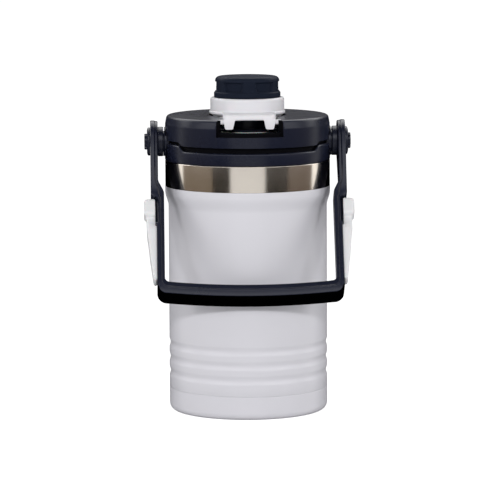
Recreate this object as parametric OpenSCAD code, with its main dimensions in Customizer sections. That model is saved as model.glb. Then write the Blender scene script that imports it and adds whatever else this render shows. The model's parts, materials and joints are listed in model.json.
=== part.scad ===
// Half-gallon vacuum sport jug with a flip-and-twist drinking cap and a bail handle.
// Millimetres. +Z is up, -Y is the front, and the origin is on the axis in the plane of the foot.

/* [Flask] */
// Outer radius of the painted body
body_r = 64; // [60:0.5:65]
// Radius of the flared top of the body and of the bare band
band_r = 66.6; // [66:0.1:67.5]
// Height of the seam between the base cup and the shell
seam_z = 19; // [16:0.5:22]
// Height of the upper edge of the paint
paint_z = 182.5; // [180:0.5:185]
// Height of the flask's shoulder, under the lid
shoulder_z = 203.2; // [202.5:0.1:203.3]
// Wall thickness of the steel vessels
steel_t = 1; // [0.8:0.1:1.2]

/* [Body grooves] */
// Number of grooves pressed into the lower body
groove_count = 3; // [1:1:4]
// Height of the lowest groove
groove_z = 32; // [28:0.5:36]
// Height from one groove to the next
groove_pitch = 11.6; // [9:0.1:13]
// Depth of a groove
groove_depth = 0.9; // [0.5:0.1:1.2]

/* [Lid] */
// Height of the lid's lower edge
lid_z = 203.6; // [203.5:0.1:203.8]
// Height of the lid's flat top
lid_top_z = 239.5; // [239.5:0.5:241]
// Outer radius of the lid shell
lid_r = 66.4; // [66:0.1:66.5]
// Radius of the round well about the spout
well_r = 31; // [30.8:0.1:32]
// Height of the floor of the well and of the front notch
well_z = 226.3; // [226:0.1:227]

/* [Spout and cap] */
// Radius of the bore that one drinks from
spout_bore_r = 17; // [14:0.5:17]
// Height of the spout's rim
spout_top_z = 260; // [258:0.5:260]
// Outer radius of the cap collar
collar_r = 29.8; // [29.5:0.1:30]
// Radius of the gripping part of the twist cap
cap_r = 25.9; // [25.6:0.1:26.2]
// Height of the top of the twist cap
cap_top_z = 270.6; // [270:0.1:274]
// Number of finger pockets round the cap
pocket_count = 6; // [3:1:8]

/* [Bail handle] */
// Height of the pivot that the bail swings on
pivot_z = 218.1; // [217.5:0.1:218.5]
// Angle that the bail hangs at, forward of straight down
bail_angle = 34.5; // [34.5:0.1:36]
// Width of the strap that the bail is made of
strap_w = 17.8; // [16:0.1:18]
// Distance from the pivot to the inner face of the grip, at its middle
grip_reach = 133.5; // [133.5:0.1:136]
// Thickness of the grip
grip_t = 12.3; // [11.5:0.1:13]

/* [Hidden] */
$fn = 96;

NAVY = [0.14, 0.15, 0.19];
WHITE = [0.9, 0.9, 0.91];
PAINT = [0.82, 0.82, 0.84];
STEEL = [0.74, 0.71, 0.68];
RUBBER = [0.2, 0.2, 0.21];

gap = 0.05;              // between faces that touch within one body
foot_corner_r = 7.4;     // outer corner of the base
flare_low_z = 166.9;     // the body starts to widen here
flare_high_z = 177.5;    // and is at its full radius here
liner_r = 56.9;          // inside of the flask, for a capacity of about 1.9 litre
liner_floor_z = 9;
mouth_r = 54.5;          // inside of the neck
neck_r = 58;             // outside of the neck
rim_z = 217.5;           // top of the neck
thread_crest_r = 59.2;
thread_pitch = 4;
skirt_bore_r = 59.7;     // inside of the liner's skirt, round the neck thread
skirt_r = 62.3;
ring_bore_r = 62.6;
ring_top_z = 213.4;      // top of the lid ring at the front and back
ear_top_z = 217.6;       // top of its two side ears
ear_foot_y = 41.6;       // half-length of an ear at its foot, and at its top
ear_head_y = 34.5;
ear_gap = 2.9;           // the shell's lower edge is this far above the ears
spigot_r = 63.1;         // the ring's thin inner rim, which the shell snaps over
spigot_z = 222.3;
shell_low_z = 217.6;
shell_wall = 2.6;
shell_deck = 3;
plate_low_z = 219.65;    // the liner's plate, over the gasket
plate_high_z = 222.3;
notch_w = 22.8;          // half-width of the front notch at its inner walls
notch_mouth_w = 26.9;    // and at the lid's face
boss_r = 11.9;
boss_x = 67.2;           // outer face of the ring's pivot boss
spacer_in_x = 68;
spacer_out_x = 72.3;
spacer_neck_r = 8.6;
pin_r = 4;               // shoulder of the pivot bolt
eye_r = 17.2;            // round end of each arm
eye_in_x = 72.4;
eye_out_x = 78.4;
knob_r = 11.3;           // flange, and toothed centre of the pivot knobs
knob_centre_r = 6.4;
knob_out_x = 81;
knob_tip_x = 83.2;
arm_in_x = 67.7;          // lower arm, inner and outer face
arm_out_x = 73.8;
throat_x = 72.4;         // bottom of the groove between the arm and the hook's finger
throat_end = 78;         // distance from the pivot at which the hook's throat closes
jog_start = 39.7;
jog_end = 49.7;
lip_start = 51.4;        // chamfer at the end of the thick upper arm
lip_end = 55;
finger_x = 75;           // inner and outer face of the hook's finger
finger_out_x = 84;
grip_bow = 3.5;          // rise of the bowed grip at its middle
grip_end_x = 66;
hook_end = 128.2;
screw_reach = [90, 118];
hinge_y = -53;           // cap hinge
hinge_z = 237.8;
leg_out_x = 20;          // outer faces of the yoke's legs
hinge_pin_r = 2;
collar_top_z = 253.8;
collar_bore_r = 26.35;
skirt_out_r = 26;        // the cap's skirt, inside the collar
skirt_in_r = 24.3;
cap_flange_r = 26.8;
cap_flange_z = 258.5;
spout_r = 19.8;

function arc(c, r, a, b, n = 8) =
    [for (i = [0:n]) c + r * [cos(a + (b - a) * i / n), sin(a + (b - a) * i / n)]];
function flipped(points) = [for (i = [len(points) - 1:-1:0]) points[i]];
function moved(points, by) = [for (p = points) p + by];

// A sheet-metal wall: an outline and the same outline set inwards, as one closed profile.
function sheet(outline, t) = concat(outline, flipped(moved(outline, [-t, 0])));

// One pressed groove, from its lower to its upper edge, as an arc of radius groove_arc.
groove_half = 3.4;
groove_arc = (pow(groove_half, 2) + pow(groove_depth, 2)) / (2 * groove_depth);
function groove(z) =
    [for (i = [-6:6]) let (d = groove_half * i / 6)
        [body_r - groove_depth + groove_arc - sqrt(pow(groove_arc, 2) - d * d), z + d]];
function grooves(i = 0) =
    i >= groove_count ? [] : concat(groove(groove_z + i * groove_pitch), grooves(i + 1));
// The S-shaped flare below the paint edge.
function flare(n = 12) =
    [for (i = [0:n]) let (u = i / n)
        [body_r + (band_r - body_r) * (1 - cos(180 * u)) / 2,
         flare_low_z + (flare_high_z - flare_low_z) * u]];

module ring(r_in, r_out, z0, z1) {
    translate([0, 0, z0]) difference() {
        cylinder(r = r_out, h = z1 - z0);
        translate([0, 0, -1]) cylinder(r = r_in, h = z1 - z0 + 2);
    }
}
// A cylinder along X, from x0 to x1, at the height of the pivot.
module pivot_rod(r, x0, x1, fn = $fn) {
    translate([x0, 0, pivot_z]) rotate([0, 90, 0]) cylinder(r = r, h = x1 - x0, $fn = fn);
}
// Children are drawn with the bail hanging straight down from the origin.
module hung() { translate([0, 0, pivot_z]) rotate([-bail_angle, 0, 0]) children(); }
// A plate whose outline lies in the XZ plane, w thick about y.
module front_plate(w, y = 0) {
    translate([0, y, 0]) rotate([90, 0, 0]) linear_extrude(w, center = true) children();
}
// A plate whose outline lies in the YZ plane, from x0 to x1.
module side_plate(x0, x1) {
    translate([x0, 0, 0]) rotate([90, 0, 90]) linear_extrude(x1 - x0) children();
}

/* ---- flask ---- */
module outer_shell() color(PAINT) rotate_extrude() polygon(sheet(concat(
    [[body_r, seam_z + 0.15]], grooves(), flare(), [[band_r, paint_z]]), steel_t));

module steel_band() color(STEEL) rotate_extrude() polygon(concat(
    [[band_r - steel_t - gap, flare_high_z + 1], [band_r - steel_t - gap, paint_z + gap],
     [band_r - 0.15, paint_z + gap]],
    arc([band_r - 2.15, shoulder_z - 2], 2, 0, 90, 6),
    [[neck_r + 1, shoulder_z]],
    arc([neck_r + 1, shoulder_z + 1], 1, 270, 180, 6),
    [[neck_r, rim_z - 1 - gap], [neck_r - steel_t, rim_z - 1 - gap],
     [neck_r - steel_t, shoulder_z - 1.5], [band_r - 3.6, shoulder_z - 1.5],
     [band_r - 2 * steel_t - gap, shoulder_z - 3.4],
     [band_r - 2 * steel_t - gap, flare_high_z + 1]]));

module base_cup() color(PAINT) {
    foot_in_r = 52;
    rotate_extrude() polygon(concat(
        [[0, 2], [foot_in_r, 2], [foot_in_r, 0]],
        arc([body_r - foot_corner_r, foot_corner_r], foot_corner_r, 270, 360, 12),
        [[body_r, seam_z - 0.15], [body_r - steel_t - gap, seam_z - 0.15],
         [body_r - steel_t - gap, seam_z + 4], [body_r - 2 * steel_t, seam_z + 4]],
        arc([body_r - foot_corner_r, foot_corner_r], foot_corner_r - 2 * steel_t, 360, 270, 12),
        [[foot_in_r + 1, 2 * steel_t], [foot_in_r, 3], [0, 3]]));
}

module foot_pad() color(RUBBER) difference() {
    cylinder(r = 52 - gap, h = 2 - gap);
    translate([0, 0, -1]) ring(38, 41, 0, 1.8);
    for (i = [0:11]) rotate(i * 30) translate([46, 0, -1]) cylinder(r = 1.6, h = 2);
}

module getter_cap() color(STEEL) rotate_extrude() polygon(concat(
    [[0, 3 + gap], [9, 3 + gap]], arc([8.2, 3.8], 0.8, 0, 90, 4), [[0, 5]]));

module inner_flask() color(STEEL) {
    floor_corner = 12;
    outside_r = liner_r + steel_t;
    rotate_extrude() polygon(concat(
        [[0, liner_floor_z - steel_t]],
        arc([outside_r - floor_corner, liner_floor_z - steel_t + floor_corner], floor_corner,
            270, 360, 10),
        [[outside_r, shoulder_z - 10], [mouth_r + steel_t, shoulder_z - 3],
         [mouth_r + steel_t, rim_z - 1], [neck_r, rim_z - 1], [neck_r, rim_z],
         [mouth_r, rim_z], [mouth_r, shoulder_z - 3.4], [liner_r, shoulder_z - 10.4]],
        arc([outside_r - floor_corner, liner_floor_z - steel_t + floor_corner],
            floor_corner - steel_t, 360, 270, 10),
        [[0, liner_floor_z]]));
}

module neck_thread() color(STEEL) rotate_extrude() polygon(concat(
    [[neck_r + gap, shoulder_z + 1.2]],
    [[neck_r + 0.5, shoulder_z + 1.2]],
    [for (i = [0:2]) each let (z = 206 + i * thread_pitch)
        [[neck_r + 0.5, z - 0.9], [thread_crest_r, z - 0.4], [thread_crest_r, z + 0.4],
         [neck_r + 0.5, z + 0.9]]],
    [[neck_r + 0.5, 216], [neck_r + gap, 216]]));

/* ---- lid ---- */
module neck_gasket() color(RUBBER) rotate_extrude() polygon(concat(
    [[mouth_r + 0.3, rim_z + gap], [neck_r, rim_z + gap]],
    arc([neck_r, rim_z + 1.05], 1, 270, 450, 8),
    arc([mouth_r + 0.3, rim_z + 1.05], 1, 90, 180, 6)));

module ear_outline(grow = 0, rise = 0) polygon([
    [-ear_foot_y - grow, ring_top_z - 1], [ear_foot_y + grow, ring_top_z - 1],
    [ear_foot_y + grow, ring_top_z + rise],
    [ear_head_y + grow, ear_top_z + rise], [-ear_head_y - grow, ear_top_z + rise],
    [-ear_foot_y - grow, ring_top_z + rise]]);

module lid_ring() color(NAVY) difference() {
    union() {
        rotate_extrude() polygon(concat(
            [[ring_bore_r, lid_z], [band_r - 0.6, lid_z], [band_r, lid_z + 0.6],
             [band_r, ring_top_z - 1]],
            arc([band_r - 1, ring_top_z - 1], 1, 0, 90, 4),
            [[spigot_r, ring_top_z], [spigot_r, spigot_z], [ring_bore_r, spigot_z]]));
        intersection() {
            ring(ring_bore_r, band_r, ring_top_z - 1, ear_top_z);
            side_plate(-80, 80) ear_outline();
        }
        difference() {
            pivot_rod(boss_r, -boss_x, boss_x);
            translate([0, 0, 190]) cylinder(r = ring_bore_r, h = 60);
        }
    }
    pivot_rod(pin_r + 0.02, -90, 90);
    for (side = [-1, 1]) translate([side * 63, 0, pivot_z]) rotate([0, 90, 0])
        cylinder(r = 6.6, h = 4.2, center = true);
}

// Plan of the front notch with the well that it opens into, grown by the wall about it.
module notch_plan(grow = 0) {
    circle(r = well_r + grow);
    polygon([[-notch_w - grow, -18], [notch_w + grow, -18], [notch_w + grow, -58 - grow / 2],
             [notch_mouth_w + grow, -63 - grow / 2], [notch_mouth_w + 1.5 + grow, -72],
             [-notch_mouth_w - 1.5 - grow, -72], [-notch_mouth_w - grow, -63 - grow / 2],
             [-notch_w - grow, -58 - grow / 2]]);
}

module lid_shell() color(NAVY) difference() {
    rotate_extrude() polygon(concat(
        [[0, shell_low_z], [lid_r, shell_low_z], [lid_r, lid_top_z - 6.5]],
        [[lid_r - 1, lid_top_z - 0.9]],
        arc([lid_r - 2, lid_top_z - 1], 1, 20, 90, 4),
        [[0, lid_top_z]]));
    // the hollow for the foam, less the walls and floor of the notch and well
    difference() {
        translate([0, 0, shell_low_z - 1])
            cylinder(r = lid_r - shell_wall, h = lid_top_z - shell_deck - shell_low_z + 1);
        translate([0, 0, plate_high_z + 0.4]) linear_extrude(30) notch_plan(2.4);
        for (side = [-1, 1]) translate([side * 24.5 - 3.5, hinge_y - 5, plate_high_z + 0.4])
            cube([7, 10, 30]);
    }
    translate([0, 0, well_z]) linear_extrude(30) notch_plan();
    translate([0, 0, 200]) cylinder(r = spout_r + 0.3, h = 40);
    // room above the ring's ears and round its pivot bosses
    side_plate(-80, 80) ear_outline(0.8, ear_gap);
    pivot_rod(boss_r + 0.5, -80, -50);
    pivot_rod(boss_r + 0.5, 50, 80);
    // hinge bearings, open to the top through a slot narrower than the pin
    for (side = [-1, 1]) {
        translate([side * 23.5, hinge_y, hinge_z]) rotate([0, 90, 0])
            cylinder(r = hinge_pin_r + 0.1, h = 4, center = true);
        translate([side * 23.5 - 2, hinge_y - hinge_pin_r + 0.2, hinge_z])
            cube([4, 2 * hinge_pin_r - 0.4, 10]);
    }
}

module lid_liner() color(WHITE) union() {
    ring(skirt_bore_r, skirt_r, lid_z + 0.9, plate_high_z);
    ring(spout_r + gap, skirt_r, plate_low_z, plate_high_z);
}

module lid_insulation() color([0.93, 0.91, 0.82]) difference() {
    translate([0, 0, plate_high_z + 0.6]) cylinder(r = lid_r - shell_wall - 1,
        h = lid_top_z - shell_deck - plate_high_z - 1);
    linear_extrude(300) notch_plan(3);
    pivot_rod(boss_r + 1.2, -80, -50);
    pivot_rod(boss_r + 1.2, 50, 80);
    for (side = [-1, 1]) translate([side * 24.5 - 4, hinge_y - 6, 200]) cube([8, 12, 80]);
}

module spout() color(NAVY) rotate_extrude() polygon(concat(
    [[spout_bore_r, plate_low_z + gap], [spout_r, plate_low_z + gap], [spout_r, 227.3],
     [25, 227.3]],
    arc([25, 228.3], 1, 270, 450, 6),
    arc([spout_r + 1.5, 230.8], 1.5, 270, 180, 4),
    [for (i = [0:2]) each let (z = 244.5 + i * thread_pitch)
        [[spout_r, z - 1], [spout_r + 0.8, z - 0.4], [spout_r + 0.8, z + 0.4],
         [spout_r, z + 1]]],
    arc([spout_r - 1.4, spout_top_z - 1.4], 1.4, 0, 180, 8),
    [[spout_bore_r, spout_top_z - 3]]));

module spout_gasket() color(RUBBER) ring(spout_r + 0.35, 25, well_z + gap, 227.3 - gap);

module pivot_bolt_left() color(STEEL) mirror([1, 0, 0]) pivot_bolt();
module pivot_bolt_right() color(STEEL) pivot_bolt();
module pivot_bolt() {
    pivot_rod(6.2, 62.9, 65);
    pivot_rod(pin_r, 64, knob_out_x - 1);
}

module pivot_spacer_left() color(NAVY) mirror([1, 0, 0]) pivot_spacer();
module pivot_spacer_right() color(NAVY) pivot_spacer();
module pivot_spacer() difference() {
    union() {
        pivot_rod(boss_r, spacer_in_x, spacer_out_x);
        pivot_rod(spacer_neck_r, boss_x + gap, spacer_in_x + 0.5);
    }
    pivot_rod(pin_r + 0.02, 60, 90);
}

module pivot_knob_left() color(NAVY) mirror([1, 0, 0]) pivot_knob();
module pivot_knob_right() color(NAVY) pivot_knob();
module pivot_knob() difference() {
    union() {
        translate([eye_out_x + 0.1, 0, pivot_z]) rotate([0, 90, 0]) rotate_extrude() polygon(concat(
            [[0, 0], [knob_r, 0], [knob_r, 1.2]],
            arc([knob_r - 0.8, 1.4], 0.8, 0, 70, 4),
            [[knob_centre_r, knob_out_x - eye_out_x], [0, knob_out_x - eye_out_x]]));
        pivot_rod(knob_centre_r - 1, knob_out_x - 0.5, knob_tip_x);
        for (i = [0:9]) translate([0, 0, pivot_z]) rotate([i * 36, 0, 0])
            translate([knob_out_x - 0.5, knob_centre_r - 1.4, -0.8])
                cube([knob_tip_x - knob_out_x + 0.5, 1.4, 1.6]);
    }
    pivot_rod(pin_r + 0.02, 60, knob_out_x - 1);
}

/* ---- cap carrier ---- */
module cap_collar() color(WHITE) difference() {
    base_r = collar_r + 0.8;
    leg_half_y = 3.8;
    union() {
        rotate_extrude() polygon(concat(
            [[collar_bore_r, 239.6], [base_r - 2.4, 239.6], [base_r, 241.2],
             [base_r, 242.7], [collar_r, 243.4], [collar_r, collar_top_z - 1.6]],
            arc([collar_r - 1.6, collar_top_z - 1.6], 1.6, 0, 90, 6),
            [[collar_bore_r, collar_top_z]]));
        // the yoke that reaches forward to the hinge, rounded at its front
        intersection() {
            side_plate(-21.6, 21.6) polygon(concat(
                [[-18, 239.6], [-29, 239.6], [-36, 239]],
                arc([-55, 240.8], 1.8, 270, 180, 4),
                arc([-53.6, 240.8], 3.2, 180, 100, 6),
                [[-30, 243.9], [-18, 243.9]]));
            linear_extrude(300) polygon(concat(
                [[-21.6, -18], [21.6, -18]],
                arc([15.6, -50.8], 6, 0, -90, 6),
                arc([-15.6, -50.8], 6, -90, -180, 6)));
        }
        // two legs round the hinge pins, with sloping inner edges
        for (side = [-1, 1]) intersection() {
            side_plate(-leg_out_x, leg_out_x) union() {
                translate([hinge_y, hinge_z - 1.8]) circle(r = leg_half_y, $fn = 48);
                translate([hinge_y - leg_half_y, hinge_z - 1.8]) square([2 * leg_half_y, 4.4]);
            }
            front_plate(300) polygon([
                [side * 11.6, 241], [side * 11.6, 239], [side * 13.3, 230],
                [side * (leg_out_x - 1), 230], [side * leg_out_x, 233.5], [side * leg_out_x, 241]]);
        }
    }
    translate([0, 0, 230]) cylinder(r = collar_bore_r, h = 40);
    translate([0, hinge_y, hinge_z]) rotate([0, 90, 0])
        cylinder(r = hinge_pin_r + 0.01, h = 60, center = true);
}

module hinge_pins() color(WHITE) for (side = [-1, 1])
    translate([side * 19.6, hinge_y, hinge_z]) rotate([0, 90, 0])
        cylinder(r = hinge_pin_r, h = 10.8, center = true);

/* ---- twist cap ---- */
module twist_cap() color(NAVY) difference() {
    rotate_extrude() polygon(concat(
        [[skirt_in_r, 237], [skirt_out_r, 237], [skirt_out_r, collar_top_z + 0.1],
         [cap_flange_r - 0.5, collar_top_z + 0.1], [cap_flange_r, collar_top_z + 0.6],
         [cap_flange_r, cap_flange_z - 0.8]],
        arc([cap_flange_r - 0.8, cap_flange_z - 0.8], 0.8, 0, 90, 4),
        [[cap_r, cap_flange_z], [cap_r, cap_top_z - 3.6]],
        arc([cap_r - 3.6, cap_top_z - 3.6], 3.6, 0, 90, 8),
        [[0, cap_top_z], [0, cap_top_z - 2.4], [22.3, cap_top_z - 2.4], [22.3, 257],
         [skirt_in_r, 256.2]]));
    for (i = [0:pocket_count - 1]) rotate(i * 360 / pocket_count + 302) intersection() {
        ring(cap_r - 1.8, cap_r + 5, cap_flange_z + 0.2, cap_top_z - 3.8);
        rotate([90, 0, 0]) linear_extrude(40) polygon([
            [-7.6, cap_flange_z - 1], [7.6, cap_flange_z - 1],
            [8.4, cap_top_z - 3.8], [-8.4, cap_top_z - 3.8]]);
    }
}

module cap_liner() color(WHITE) translate([0, 0, 262.6])
    cylinder(r = 22.3 - gap, h = cap_top_z - 2.4 - gap - 262.6);

module cap_gasket() color(RUBBER) rotate_extrude() polygon(concat(
    [[16, 262.6 - gap], [21.4, 262.6 - gap]],
    arc([20.6, 261.2], 0.8, 0, -90, 4), arc([16.8, 261.2], 0.8, 270, 180, 4)));

module cap_retainer() color(WHITE) rotate_extrude() polygon([
    [skirt_out_r + gap, 236.9], [26.9, 236.9], [27.4, 237.5], [27.4, 239.1],
    [skirt_out_r + gap, 239.1]]);

/* ---- bail ---- */
// Arc of the bowed grip: its outer or inner face at a given distance from the pivot.
bow_r = (pow(grip_end_x, 2) + pow(grip_bow, 2)) / (2 * grip_bow);
function bow(reach, half_x, n = 16) =
    [for (i = [-n:n]) let (x = half_x * i / n)
        [x, -(reach - bow_r + sqrt(bow_r * bow_r - x * x))]];
function right_side(reach_out) = concat(
    [[eye_in_x, eye_r + 1], [eye_out_x, eye_r + 1], [eye_out_x, -lip_start],
     [eye_out_x - 1.8, -lip_end], [arm_out_x + 1.1, -lip_end], [arm_out_x + 1.1, -throat_end],
     [arm_out_x, -throat_end - 2], [arm_out_x, -reach_out + 11.4]],
    arc([65.9, -reach_out + 11.4], 8, -4, -80, 8));
function right_inside(reach_in) = concat(
    arc([64.1, -reach_in + 7.1], 3.6, -85, 0, 6),
    [[arm_in_x, -jog_end], [eye_in_x, -jog_start]]);
grip_out = grip_reach + grip_t;
// The pad covers the outer face of the grip and both its corners, down to a depth below it.
pad_t = 1.2;
function pad_edge(depth) = let (corner = arc([65.9, -grip_out + 11.4], 8 - depth, -2, -80, 8))
    concat(corner, flipped(bow(grip_out - depth, 64)), flipped([for (p = corner) [-p[0], p[1]]]));

module bail_frame() color(NAVY) hung() difference() {
    intersection() {
        front_plate(60) difference() {
            half = right_side(grip_out);
            inside = right_inside(grip_reach);
            polygon(concat(half, flipped(bow(grip_out, 64)), flipped([for (p = half) [-p[0], p[1]]])));
            polygon(concat(bow(grip_reach, 62), inside, [[eye_in_x, 60], [-eye_in_x, 60]],
                           flipped([for (p = inside) [-p[0], p[1]]])));
        }
        side_plate(-100, 100) union() {
            circle(r = eye_r);
            polygon([[-eye_r + 0.6, -4], [-strap_w / 2, -46], [-strap_w / 2, -grip_out - 5],
                     [strap_w / 2, -grip_out - 5], [strap_w / 2, -46], [eye_r - 0.6, -4]]);
        }
    }
    rotate([0, 90, 0]) cylinder(r = pin_r + 0.08, h = 200, center = true);
    // room for the soft grip pad, and counterbored screw holes for the hooks
    front_plate(strap_w + 1) polygon(concat(pad_edge(-5), flipped(pad_edge(pad_t))));
    for (reach = screw_reach) translate([0, 0, -reach]) rotate([0, 90, 0]) {
        cylinder(r = 1.52, h = 170, center = true);
        cylinder(r = 3.2, h = 2 * (arm_in_x + 1.6), center = true);
    }
    // groove between each arm and its hook's finger, closed at the back
    for (side = [-1, 1]) translate([side * (throat_x + 5), -6, -(lip_end + throat_end) / 2])
        cube([10, 12, throat_end - lip_end], center = true);
}

module grip_pad() color(RUBBER) hung() front_plate(strap_w)
    polygon(concat(pad_edge(0), flipped(pad_edge(pad_t - gap))));

module fence_hook_left() color(WHITE) mirror([1, 0, 0]) fence_hook();
module fence_hook_right() color(WHITE) fence_hook();
module fence_hook() hung() difference() {
    front_plate(14) polygon(concat(
        arc([finger_out_x - 2.6, -57.9], 2.6, 0, 90, 4), arc([finger_x + 1.5, -56.8], 1.5, 90, 180, 4),
        [[finger_x, -throat_end - 1], [arm_out_x + gap, -throat_end - 2.4],
         [arm_out_x + gap, -hook_end + 1]],
        arc([75.3, -hook_end + 1.5], 1.5, 200, 340, 6),
        [[77.8, -118], [79.2, -108], [80.4, -95], [81.7, -84]],
        [[82, -72.6]], arc([82, -68.2], 2, -60, 0, 4)));
    // the waist below the tip, thinner from front to back
    for (side = [-1, 1]) translate([0, side * 9.2, -(70.4 + throat_end) / 2]) rotate([0, 90, 0])
        cylinder(r = 4.6, h = 100);
    for (reach = screw_reach) translate([60, 0, -reach]) rotate([0, 90, 0])
        cylinder(r = 1.52, h = 16.6);
}

module hook_screws_left() color(STEEL) mirror([1, 0, 0]) hook_screws();
module hook_screws_right() color(STEEL) hook_screws();
module hook_screws() hung() for (reach = screw_reach) translate([0, 0, -reach])
    rotate([0, 90, 0]) difference() {
        union() {
            translate([0, 0, arm_in_x + 0.2]) cylinder(r = 3, h = 1.4);
            translate([0, 0, arm_in_x + 1]) cylinder(r = 1.5, h = 76.3 - arm_in_x - 1);
        }
        translate([0, 0, arm_in_x]) cylinder(r = 1.3, h = 1.1, $fn = 6);
    }

outer_shell();
steel_band();
base_cup();
foot_pad();
getter_cap();
inner_flask();
neck_thread();
neck_gasket();
lid_ring();
lid_shell();
lid_liner();
lid_insulation();
spout();
spout_gasket();
pivot_bolt_left();
pivot_bolt_right();
pivot_spacer_left();
pivot_spacer_right();
pivot_knob_left();
pivot_knob_right();
cap_collar();
hinge_pins();
twist_cap();
cap_liner();
cap_gasket();
cap_retainer();
bail_frame();
grip_pad();
fence_hook_left();
fence_hook_right();
hook_screws_left();
hook_screws_right();
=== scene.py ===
"""Looks of a half-gallon vacuum jug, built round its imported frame.

Each sub-assembly of the jug is a class whose fields hold its sizes in millimetres and whose methods
build and dress its pieces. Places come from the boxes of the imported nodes.
"""

import json
import logging
import math
from dataclasses import dataclass, field
from enum import Enum
from typing import Callable, Optional, Sequence

import bmesh
import bpy
from mathutils import Matrix, Vector


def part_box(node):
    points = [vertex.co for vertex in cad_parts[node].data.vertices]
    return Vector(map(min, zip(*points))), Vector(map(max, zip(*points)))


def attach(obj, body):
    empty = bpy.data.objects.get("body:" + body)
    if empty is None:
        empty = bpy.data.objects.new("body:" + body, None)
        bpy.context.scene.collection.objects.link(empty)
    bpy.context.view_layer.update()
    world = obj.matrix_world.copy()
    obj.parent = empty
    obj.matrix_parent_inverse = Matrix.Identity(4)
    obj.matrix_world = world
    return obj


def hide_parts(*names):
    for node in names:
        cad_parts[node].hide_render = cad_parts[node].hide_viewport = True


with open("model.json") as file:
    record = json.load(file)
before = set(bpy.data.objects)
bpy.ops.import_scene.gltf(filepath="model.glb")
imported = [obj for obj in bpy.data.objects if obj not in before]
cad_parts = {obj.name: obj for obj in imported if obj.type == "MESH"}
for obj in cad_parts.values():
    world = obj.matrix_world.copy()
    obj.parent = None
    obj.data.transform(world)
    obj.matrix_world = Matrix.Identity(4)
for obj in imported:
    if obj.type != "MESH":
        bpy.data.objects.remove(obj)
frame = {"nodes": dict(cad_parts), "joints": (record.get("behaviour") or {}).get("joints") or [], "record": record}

MM = 0.001
TAU = 2 * math.pi
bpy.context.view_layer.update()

log = logging.getLogger("jug")
Point2 = tuple[float, float]


# ---------------------------------------------------------------------------
# Places
# ---------------------------------------------------------------------------


@dataclass(frozen=True)
class NodeBox:
    """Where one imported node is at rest, in millimetres."""

    low: Vector
    high: Vector

    @classmethod
    def of(cls, node: str) -> "NodeBox":
        """Reads a node's box.

        Args:
            node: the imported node's name.

        Returns:
            Its box, in millimetres.
        """
        low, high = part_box(node)
        return cls(low / MM, high / MM)

    @property
    def radius(self) -> float:
        """Radius of a node that is round about the jug's axis."""
        return max(self.high.x, -self.low.x)


def joint_record(name: str) -> dict:
    """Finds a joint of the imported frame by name."""
    return next(j for j in frame["joints"] if j["name"] == name)


# ---------------------------------------------------------------------------
# Outlines
# ---------------------------------------------------------------------------


def fillet(corners: Sequence[tuple[float, float, float]], steps: int = 5,
           closed: bool = True) -> list[Point2]:
    """Rounds the corners of an outline with arcs.

    Args:
        corners: x, y and the radius of each corner.
        steps: pieces in each arc.
        closed: whether the last corner joins the first.

    Returns:
        The outline's points.
    """
    points: list[Point2] = []
    count = len(corners)
    for i, (x, y, radius) in enumerate(corners):
        here = Vector((x, y))
        if radius <= 0 or (not closed and i in (0, count - 1)):
            points.append((x, y))
            continue
        before = Vector(corners[i - 1][:2]) - here
        after = Vector(corners[(i + 1) % count][:2]) - here
        half = before.angle(after) / 2
        if half > math.radians(89.5) or half < math.radians(0.5):
            points.append((x, y))
            continue
        room = [edge.length * (0.49 if corners[j % count][2] > 0 else 0.98)
                for edge, j in ((before, i - 1), (after, i + 1))]
        reach = min(radius / math.tan(half), *room)
        radius = reach * math.tan(half)
        start, end = here + before.normalized() * reach, here + after.normalized() * reach
        middle = here + (before.normalized() + after.normalized()).normalized() * (radius / math.sin(half))
        a, b = start - middle, end - middle
        turn = a.angle_signed(b)
        for k in range(steps + 1):
            arm = a.copy()
            arm.rotate(Matrix.Rotation(-turn * k / steps, 2))
            points.append(tuple(middle + arm))
    return points


def smoothstep(low: float, high: float, value: float) -> float:
    """Rises smoothly from 0 at low to 1 at high."""
    u = min(1.0, max(0.0, (value - low) / (high - low)))
    return u * u * (3 - 2 * u)


def spaced(start: float, end: float, count: int) -> list[float]:
    """Count + 1 evenly spaced values from start to end."""
    return [start + (end - start) * i / count for i in range(count + 1)]


# ---------------------------------------------------------------------------
# Meshes
# ---------------------------------------------------------------------------


def mesh_object(name: str, bm: bmesh.types.BMesh, sharp_deg: float = 34.0) -> bpy.types.Object:
    """Turns a bmesh in millimetres into a smooth-shaded object in metres.

    Args:
        name: the piece's name.
        bm: the mesh, which is freed.
        sharp_deg: edges that turn by more than this stay sharp.

    Returns:
        The new object.
    """
    bmesh.ops.remove_doubles(bm, verts=bm.verts, dist=1e-4)
    bmesh.ops.recalc_face_normals(bm, faces=bm.faces)
    limit = math.radians(sharp_deg)
    for edge in bm.edges:
        edge.smooth = len(edge.link_faces) != 2 or edge.calc_face_angle(0.0) < limit
    for face in bm.faces:
        face.smooth = True
    bmesh.ops.scale(bm, vec=(MM, MM, MM), verts=bm.verts)
    mesh = bpy.data.meshes.new(name)
    bm.to_mesh(mesh)
    bm.free()
    piece = bpy.data.objects.new(name, mesh)
    bpy.context.scene.collection.objects.link(piece)
    return piece


def bridge(bm: bmesh.types.BMesh, a: Sequence[bmesh.types.BMVert],
           b: Sequence[bmesh.types.BMVert], closed: bool = True) -> None:
    """Joins two rows of vertices with quads; a row of one vertex is a pole.

    Args:
        bm: the mesh.
        a: the first row.
        b: the second row.
        closed: whether each row is a ring.
    """
    count = max(len(a), len(b))
    for i in range(count if closed else count - 1):
        j = (i + 1) % count
        corners = [a[i % len(a)], a[j % len(a)], b[j % len(b)], b[i % len(b)]]
        unique = list(dict.fromkeys(corners))
        if len(unique) > 2:
            bm.faces.new(unique)


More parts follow.
